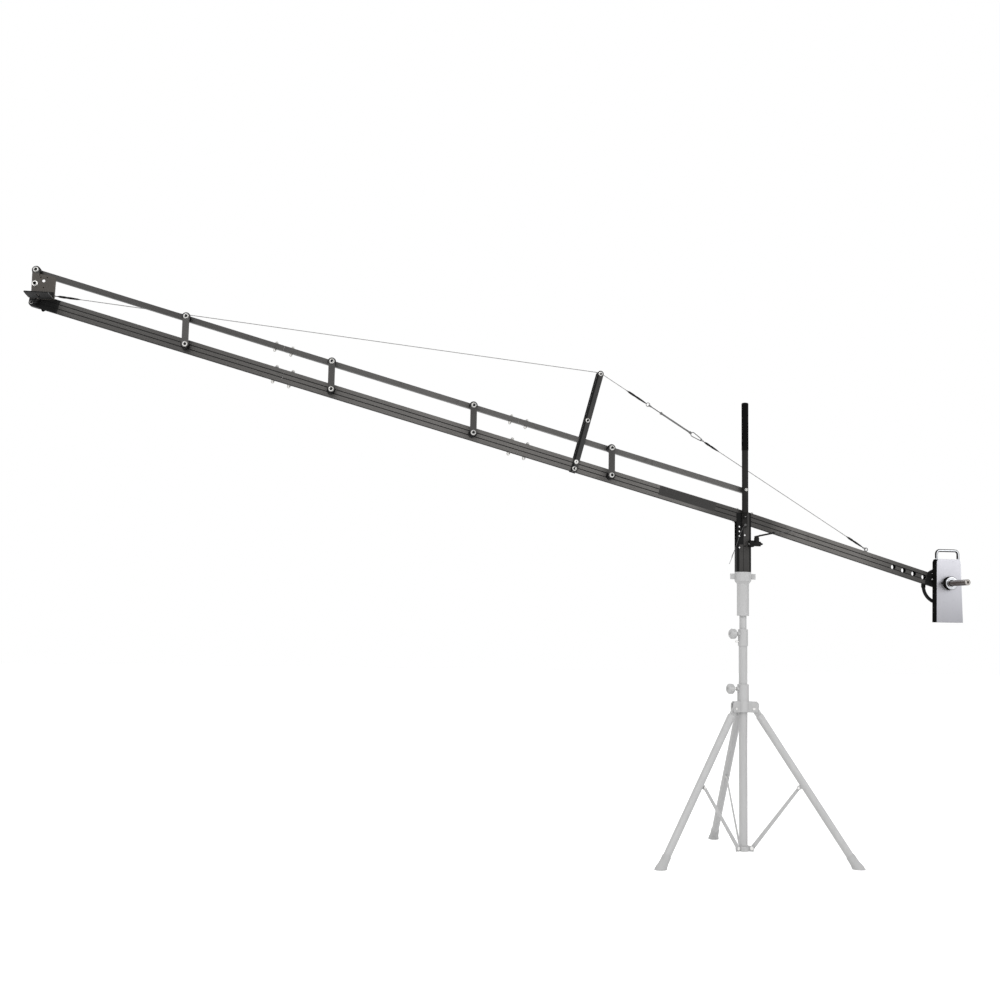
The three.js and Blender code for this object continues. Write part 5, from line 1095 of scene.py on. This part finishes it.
# The tail: rod, hanging slab with its handle, collar and ring.
rodPlace = tailFrame @ Vector((beam["holes"][-1], 0, 0))
rodFrame = towardsHead(tailFrame, -beam["holes"][-1])
weightFrame = hanging(rodPlace)
rod = {
    "neck": 10.3, "radius": 12.7, "front": -217.0, "rear": 40.0, "shoulder": 18.0, "shoulderY": (-31.4, -13.0),
    "chamfer": 2.5, "socket": 5.0,
}
front, rear, radius, shoulder, neck = (rod[key] for key in ("front", "rear", "radius", "shoulder", "neck"))
shoulderFront, shoulderRear = rod["shoulderY"]
rodProfile = [
    (0, front + 9), (rod["socket"] - 1, front + 9), (rod["socket"], front + 1), (rod["socket"] + 1, front),
    (radius - rod["chamfer"], front), (radius, front + rod["chamfer"]), (radius, shoulderFront),
    (shoulder - 0.8, shoulderFront), (shoulder, shoulderFront + 0.8), (shoulder, shoulderRear - 0.8),
    (shoulder - 0.8, shoulderRear), (neck, shoulderRear), (neck, rear - 0.8), (neck - 0.8, rear), (0, rear),
]
# Painted highlight: a streak along the rod's upper flank and its front end take a bright plate.
rodMesh = marked(spun(rodProfile, "y", steps=48), lambda place, normal: 0.1 < normal.z < 0.6 or normal.y < -0.5)
piece("weight_rod", rodFrame, [(rodMesh, "rod", "rodPaintedHighlight"), (hexNut("y", 13, 32.8, 39.8), "zinc")])

slab = {
    "front": -58.7, "back": -18.7, "seat": -31.7, "top": (55.0, 105.0), "bottom": (60.5, -169.0), "corner": 12.0,
    "edge": 1.6, "handle": 6.1, "half": 49.9, "rise": 142.4, "bend": 15.0,
}
(topHalf, topZ), (lowHalf, lowZ), corner = slab["top"], slab["bottom"], slab["corner"]
slabOutline = [(-lowHalf, lowZ), (lowHalf, lowZ), (topHalf, topZ - corner), (topHalf - corner / 2, topZ),
               (-topHalf + corner / 2, topZ), (-topHalf, topZ - corner)]
slabBores = [bore("y", 13.2, -80, 0, steps=48), bore("y", rod["shoulder"] + 0.6, slab["seat"], 0, steps=48)]
slabMesh = combined(extruded(slabOutline, "y", slab["front"], slab["back"]), slabBores)
# Painted shade: the slab's left side and its underside take a near-black coat.
marked(bevelled(slabMesh, slab["edge"], 3), lambda place, normal: normal.x < -0.8 or normal.z < -0.8)
slabY, half, bend = (slab["front"] + slab["seat"]) / 2, slab["half"], slab["bend"]
bends = (polarOutline((-half + bend, slab["rise"] - bend), bend, 9, math.pi, -math.pi / 2)
         + polarOutline((half - bend, slab["rise"] - bend), bend, 9, math.pi / 2, -math.pi / 2))
handleRoute = [(-half, slabY, topZ - 3), *((x, slabY, z) for x, z in bends), (half, slabY, topZ - 3)]
# Painted shade: the handle's flanks take a near-black coat, leaving only the faces towards the front and back bright.
handle = marked(piped(handleRoute, slab["handle"], sides=24), lambda place, normal: abs(normal.y) < 0.9)
slabParts = [(slabMesh, "slab", "slabPaintedShade"), (handle, "chrome", "chromePaintedShade")]
for side in (-1, 1):  # welded feet of the handle
    foot = spun([(0, 0), (7.6, 0), (7.4, 1.2), (5.6, 3.4), (0, 3.4)], "z", (side * half, slabY, topZ - 0.6), 28)
    slabParts.append((foot, "chrome", "chromePaintedShade"))
piece("weight_slab", weightFrame, slabParts)

collar = {"radius": 29.0, "inner": 13.1, "back": -59.2, "length": 25.0}
radius, inner, back, face = collar["radius"], collar["inner"], collar["back"], collar["back"] - collar["length"]
collarProfile = [
    (inner, back), (radius - 1, back), (radius, back - 1), (radius, face + 3), (radius - 1.5, face + 1),
    (25.5, face), (22.5, face), (22, face + 0.8), (19.5, face + 0.8), (19, face), (15, face), (inner, face + 1.5),
]
# Painted shade: the collar's round side and its middle take a near-black coat.
collarMesh = marked(spun(collarProfile, "y", closed=True, steps=56),
                    lambda place, normal: abs(normal.y) < 0.8 or math.hypot(place.x, place.z) < 15)
piece("weight_collar", weightFrame, [
    (collarMesh, "chrome", "chromePaintedShade"), (disc("x", 4.5, -43, -15, (0, back - 12.5, 0), 28, 1.0), "black"),
])

ring = {
    "radius": 72.0, "drop": 11.0, "wire": 7.6, "y": 28.0, "hub": 17.0, "spoke": 72.2, "bossAngle": 195.0,
    "boss": (9.5, 9.0),
}
ringMiddle = Vector((0, ring["y"], -ring["drop"]))
hoop = piped(loopPoints(ringMiddle, (1, 0, 0), (0, 0, 1), ring["radius"], 72), ring["wire"], True, 20)
spokes = block((-ring["spoke"], ring["spoke"]), (ring["y"] - 3, ring["y"] + 3), (-8, 8))
bossAngle = math.radians(ring["bossAngle"])
outward = Vector((math.cos(bossAngle), 0, math.sin(bossAngle)))
wide, half = ring["boss"]
bossProfile = [(0, -half), (wide - 1, -half), (wide, 1.5 - half), (wide, half - 1.5), (wide - 1, half), (0, half)]
bossPlace = aligned(ringMiddle + outward * ring["radius"], outward.cross(across))
piece("ring_handle", rodFrame, [
    (hoop, "black"), (bevelled(spokes, 1.0), "black"), (moved(spun(bossProfile, steps=32), bossPlace), "black"),
    (sleeve("y", 10.5, ring["hub"], ring["y"] - 4.5, ring["y"] + 4.5, rounding=0.6), "black"),
])
print("tail made")

# The stand. Heights are above the floor, on the stand's own axis.
adapter = {
    "top": 1195.0, "cup": 35.0, "cupLow": 1158.0, "neck": 1146.0, "sleeve": 25.5, "low": 1009.0,
    "bores": (10.4, 15.6), "floor": 1150.0, "wing": (33.0, 56.0),
}
top, cup, low, outer = adapter["top"], adapter["cup"], adapter["low"], adapter["sleeve"]
spigotBore, tubeBore = adapter["bores"]
adapterProfile = [
    (spigotBore, top), (spigotBore, adapter["floor"]), (tubeBore, adapter["neck"]), (tubeBore, low),
    (outer - 0.5, low), (outer, low + 1), (outer, adapter["neck"] - 4), (outer + 1, adapter["neck"]),
    (cup - 1.5, adapter["cupLow"] - 3), (cup, adapter["cupLow"]), (cup, top - 1), (cup - 1, top),
]
adapterParts = [(spun(adapterProfile, closed=True, steps=64), "stand")]
for side in (-1, 1):  # the wing screws
    wing = block(sorted(side * x for x in adapter["wing"]), (-3, 3), (1164, 1188))
    adapterParts.append((bevelled(wing, 1.4, 3), "stand"))
piece("stand_adapter", standFrame, adapterParts)
piece("stand_inner_tube", standFrame, [(sleeve("z", 12.5, 15, 620, 1141, steps=48, rounding=0.3), "stand")])

azimuths = {"right": -32.9, "back": 87.1, "left": 207.1}
knobTurn = Matrix.Rotation(math.radians(192), 4, "Z")


def towardsLeg(azimuth):
    return Matrix.Rotation(math.radians(azimuth), 4, "Z")


column = {
    "bore": 15.5, "radius": 18.0, "low": 30.0, "top": 952.0, "clamp": (21.0, 881.0), "hub": (25.5, 51.0),
    "ear": (44.0, 54.0), "boss": 932.5, "latch": 900.0,
}
low, top = column["low"], column["top"]
(clampRadius, clampLow), (hubRadius, hubTop) = column["clamp"], column["hub"]
clampProfile = [
    (16, clampLow), (clampRadius - 0.8, clampLow), (clampRadius, clampLow + 1.5), (clampRadius, 940), (20.4, 941),
    (20.4, 943), (clampRadius, 944), (clampRadius, top - 2), (clampRadius - 0.8, top), (16, top),
]
hubProfile = [(16, low), (hubRadius - 1.5, low), (hubRadius, low + 1.5), (hubRadius, hubTop - 1.5),
              (hubRadius - 1.5, hubTop), (16, hubTop)]
columnParts = [
    (sleeve("z", column["bore"], column["radius"], low, top, steps=56, rounding=0.3), "stand"),
    (spun(clampProfile, closed=True, steps=56), "stand"),
    (spun(hubProfile, closed=True, steps=56), "stand"),
    (moved(disc("x", 9, 19, 29, (0, 0, column["boss"]), 36, 0.8), knobTurn), "stand"),
    (moved(disc("x", 4, 19, 37, (0, 0, column["latch"]), 24, 1.2), knobTurn), "standMetal"),
]
earReach, earTop = column["ear"]
for azimuth in azimuths.values():
    ear = bevelled(block((18, earReach), (-3, 3), (low, earTop)), 1.2, 3)
    columnParts += [
        (moved(ear, towardsLeg(azimuth)), "stand"),
        (moved(disc("y", 7.5, -5, 0, (36, 0, 44), 28, 0.8), towardsLeg(azimuth)), "standMetal"),
    ]
piece("stand_column", standFrame, columnParts)

legCollar = {"bore": 18.4, "radius": 24.5, "low": 604.0, "top": 721.0, "band": (27.0, 650.0), "boss": 701.5}
collarBore, radius, low, top = (legCollar[key] for key in ("bore", "radius", "low", "top"))
bandRadius, bandTop = legCollar["band"]
sleeveProfile = [(collarBore, low), (radius, low), (radius, top - 1.5), (radius - 1.5, top), (collarBore, top)]
bandProfile = [(22, low), (bandRadius - 1, low), (bandRadius, low + 1.5), (bandRadius, bandTop - 1.5),
               (bandRadius - 1.5, bandTop), (22, bandTop)]
collarParts = [
    (spun(sleeveProfile, closed=True, steps=56), "stand"),
    (spun(bandProfile, closed=True, steps=56), "stand"),
    (moved(disc("x", 9, 22, 32.5, (0, 0, legCollar["boss"]), 36, 0.8), knobTurn), "stand"),
]
forkOutline = [(22, low), (62, low), (65, 607), (65, 641), (56, bandTop), (22, bandTop)]
for azimuth in azimuths.values():
    for inside, outside in ((-9.3, -4.3), (4.3, 9.3)):
        ear = bevelled(extruded(forkOutline, "y", inside, outside), 0.8)
        collarParts.append((moved(ear, towardsLeg(azimuth)), "stand"))
piece("leg_collar", standFrame, collarParts)

# Round knobs with six finger hollows.
knobShape = {"radius": 22.0, "length": 27.0, "edge": 6.0, "hollow": 3.5}


def knobPiece(name, height, distance, inner):
    radius, edge = knobShape["radius"], knobShape["edge"]
    low, high = distance - knobShape["length"] / 2, distance + knobShape["length"] / 2
    body = spun([(0, low), (radius - edge, low), (radius, low + edge), (radius, high - edge), (radius - edge, high),
                 (0, high)], steps=48, rounding=2.0)
    grooves = [bore("z", knobShape["hollow"], low - 5, high + 5, (x, y, 0), 20)
               for x, y in polarOutline((0, 0), radius, 6)]
    parts = [
        (bevelled(combined(body, grooves), 0.6, 2, 50), "stand"),
        (disc("z", 8, low - 2, low + 0.5, steps=32, rounding=0.6), "stand"),
        (disc("z", 4, inner, low, steps=24, rounding=0.3), "standMetal"),
        (disc("z", 6.5, high - 0.5, high, steps=32), "standMetal"),
    ]
    outwards = knobTurn @ Matrix.Translation((0, 0, height)) @ turns["x"]
    piece(name, standFrame, [(moved(bm, outwards), coat) for bm, coat in parts])


knobPiece("height_knob", column["boss"], 49.0, 15.3)
knobPiece("leg_knob", legCollar["boss"], 60.5, 18.3)

# Legs: a tube with a flat tongue above, a lug for the brace and a rubber shoe cut flat at the floor.
leg = {
    "pivot": (50.0, 619.0), "foot": 468.0, "radius": 16.0, "tubeStart": 34.0, "tongue": 13.0, "shoe": 60.0,
    "brace": (362.0, -25.0), "low": (36.0, 44.0), "shoeRadius": 23.5,
}
legRun = leg["foot"] - leg["pivot"][0]
legLength, lean = math.hypot(legRun, leg["pivot"][1]), math.atan2(legRun, leg["pivot"][1])


def shoeMesh(where):
    wide = leg["shoeRadius"]
    high, low = legLength + wide, legLength - leg["shoe"]
    profile = [(0, low), (16.4, low), (18.2, low + 2), (18.5, low + 26), (19.5, low + 38), (22.8, low + 52),
               (wide, low + 62), (wide, high), (0, high)]
    bm = moved(spun(profile, "x", steps=40), where)
    bmesh.ops.bisect_plane(bm, geom=bm.verts[:] + bm.edges[:] + bm.faces[:], plane_co=(0, 0, 0),
                           plane_no=(0, 0, -1), clear_outer=True)
    bmesh.ops.holes_fill(bm, edges=[e for e in bm.edges if e.is_boundary])
    bmesh.ops.recalc_face_normals(bm, faces=bm.faces)
    return bm


def legPiece(side, azimuth):
    plane = standFrame @ towardsLeg(azimuth)
    (pivotX, pivotZ), (station, drop) = leg["pivot"], leg["brace"]
    along = plane @ Matrix.Translation((pivotX, 0, pivotZ)) @ Matrix.Rotation(math.pi / 2 - lean, 4, "Y")
    tongueOutline = (polarOutline((0, 0), leg["tongue"], 20, math.pi / 2, math.pi)
                     + polarOutline((50, 0), leg["tongue"], 20, -math.pi / 2, math.pi))
    earOutline = [*polarOutline((station, drop), 9, 18, math.pi, math.pi), (station + 9, 0), (station - 9, 0)]
    parts = [
        (disc("x", leg["radius"], leg["tubeStart"], legLength - 40, rounding=1.4), "stand"),
        (bevelled(extruded(tongueOutline, "y", -4, 4), 0.6), "stand"),
        (bevelled(extruded(earOutline, "y", -3, 3), 0.5), "stand"),
        (disc("y", 3.5, -11.9, 11.9, steps=20), "standMetal"),
        (disc("y", 6, 9.6, 12, steps=28, rounding=0.7), "standMetal"),
        (disc("y", 6, -12, -9.6, steps=28, rounding=0.7), "standMetal"),
    ]
    parts = [(moved(bm, along), coat) for bm, coat in parts] + [(shoeMesh(along), "rubber")]
    piece(f"leg_{side}", Matrix.Identity(4), parts)

    lowR, lowH = leg["low"]
    upperR = pivotX + station * math.sin(lean) + drop * math.cos(lean)
    upperH = pivotZ - station * math.cos(lean) + drop * math.sin(lean)
    heading = math.atan2(upperH - lowH, upperR - lowR)
    outline = (polarOutline((upperR, upperH), 6.5, 16, heading - math.pi / 2, math.pi)
               + polarOutline((lowR, lowH), 8.6, 20, heading + math.pi / 2, math.pi))
    piece(f"brace_{side}", plane, [
        (bevelled(extruded(outline, "y", 3.3, 7.3), 0.5), "stand"),
        (disc("y", 7.5, 7.0, 9.3, (lowR, 0, lowH), 28, 0.7), "standMetal"),
        (disc("y", 3, -5.2, 8.4, (upperR, 0, upperH), 20), "standMetal"),
        (disc("y", 5.5, -5.3, -3.3, (upperR, 0, upperH), 28, 0.6), "standMetal"),
        (disc("y", 5.5, 7.0, 9.3, (upperR, 0, upperH), 28, 0.7), "standMetal"),
    ])


for side, azimuth in azimuths.items():
    legPiece(side, azimuth)
print("stand made")

# Floor and light. Seen directly the floor and the world are white, and the floor keeps the shadow.
studio = {
    "floorTones": (0.8, 0.76), "floorGlow": 0.45, "floorDrop": 0.0008, "world": 0.75, "size": 40.0,
    "target": (0.3, 0, 1.1),
    "lamps": [
        ("key", (-3.2, -5.5, 5.6), 5.0, 260.0), ("fill", (4.6, -4.6, 3.2), 4.0, 90.0),
        ("rim", (1.5, 5.0, 4.5), 4.0, 120.0),
    ],
}
directRays = ("Is Camera Ray", "Is Glossy Ray", "Is Transmission Ray")


def makeFloor():
    finish = Finish("floor_white", roughness=0.9)
    light, dark = (grey(tone) for tone in studio["floorTones"])
    finish.feed("Base Color", finish.mix(finish.noise(1.5, 3) * 0.3, light, dark))
    rays = finish.node("ShaderNodeLightPath").socket.node.outputs
    camera, glossy, transmission = (Value(finish, rays[name]) for name in directRays)
    shown = camera + glossy + transmission
    glow = finish.node("ShaderNodeEmission", {}, {"Color": (1, 1, 1, 1), "Strength": shown * studio["floorGlow"]})
    both = finish.node("ShaderNodeAddShader", {}, [Value(finish, finish.shader.outputs[0]), glow])
    finish.tree.links.new(both.socket, finish.tree.nodes["Material Output"].inputs["Surface"])
    bm = bmesh.new()
    bmesh.ops.create_grid(bm, x_segments=8, y_segments=8, size=studio["size"] / 2)
    floor = bpy.data.objects.new("floor", meshOf(shifted(bm, z=-studio["floorDrop"]), "floor"))
    floor.data.materials.append(finish.material)
    bpy.context.scene.collection.objects.link(floor)


def makeWorld():
    world = bpy.data.worlds.new("studio")
    bpy.context.scene.world = world
    world.use_nodes = True
    tree = world.node_tree
    rays = tree.nodes.new("ShaderNodeLightPath").outputs
    back = tree.nodes["Background"]
    back.inputs["Color"].default_value = (1, 1, 1, 1)
    strength = rays[directRays[0]]
    for name in directRays[1:]:
        node = tree.nodes.new("ShaderNodeMath")
        node.operation, node.use_clamp = "ADD", True
        tree.links.new(strength, node.inputs[0])
        tree.links.new(rays[name], node.inputs[1])
        strength = node.outputs[0]
    ranged = tree.nodes.new("ShaderNodeMapRange")
    ranged.inputs["To Min"].default_value, ranged.inputs["To Max"].default_value = studio["world"], 1.0
    tree.links.new(strength, ranged.inputs["Value"])
    tree.links.new(ranged.outputs[0], back.inputs["Strength"])


def makeLamps():
    target = Vector(studio["target"])
    for name, place, size, power in studio["lamps"]:
        data = bpy.data.lights.new(name, "AREA")
        data.shape, data.size, data.energy = "SQUARE", size, power
        lamp = bpy.data.objects.new(name, data)
        turn = (target - Vector(place)).to_track_quat("-Z", "Y").to_matrix().to_4x4()
        lamp.matrix_world = Matrix.Translation(place) @ turn
        bpy.context.scene.collection.objects.link(lamp)


makeFloor()
makeWorld()
makeLamps()
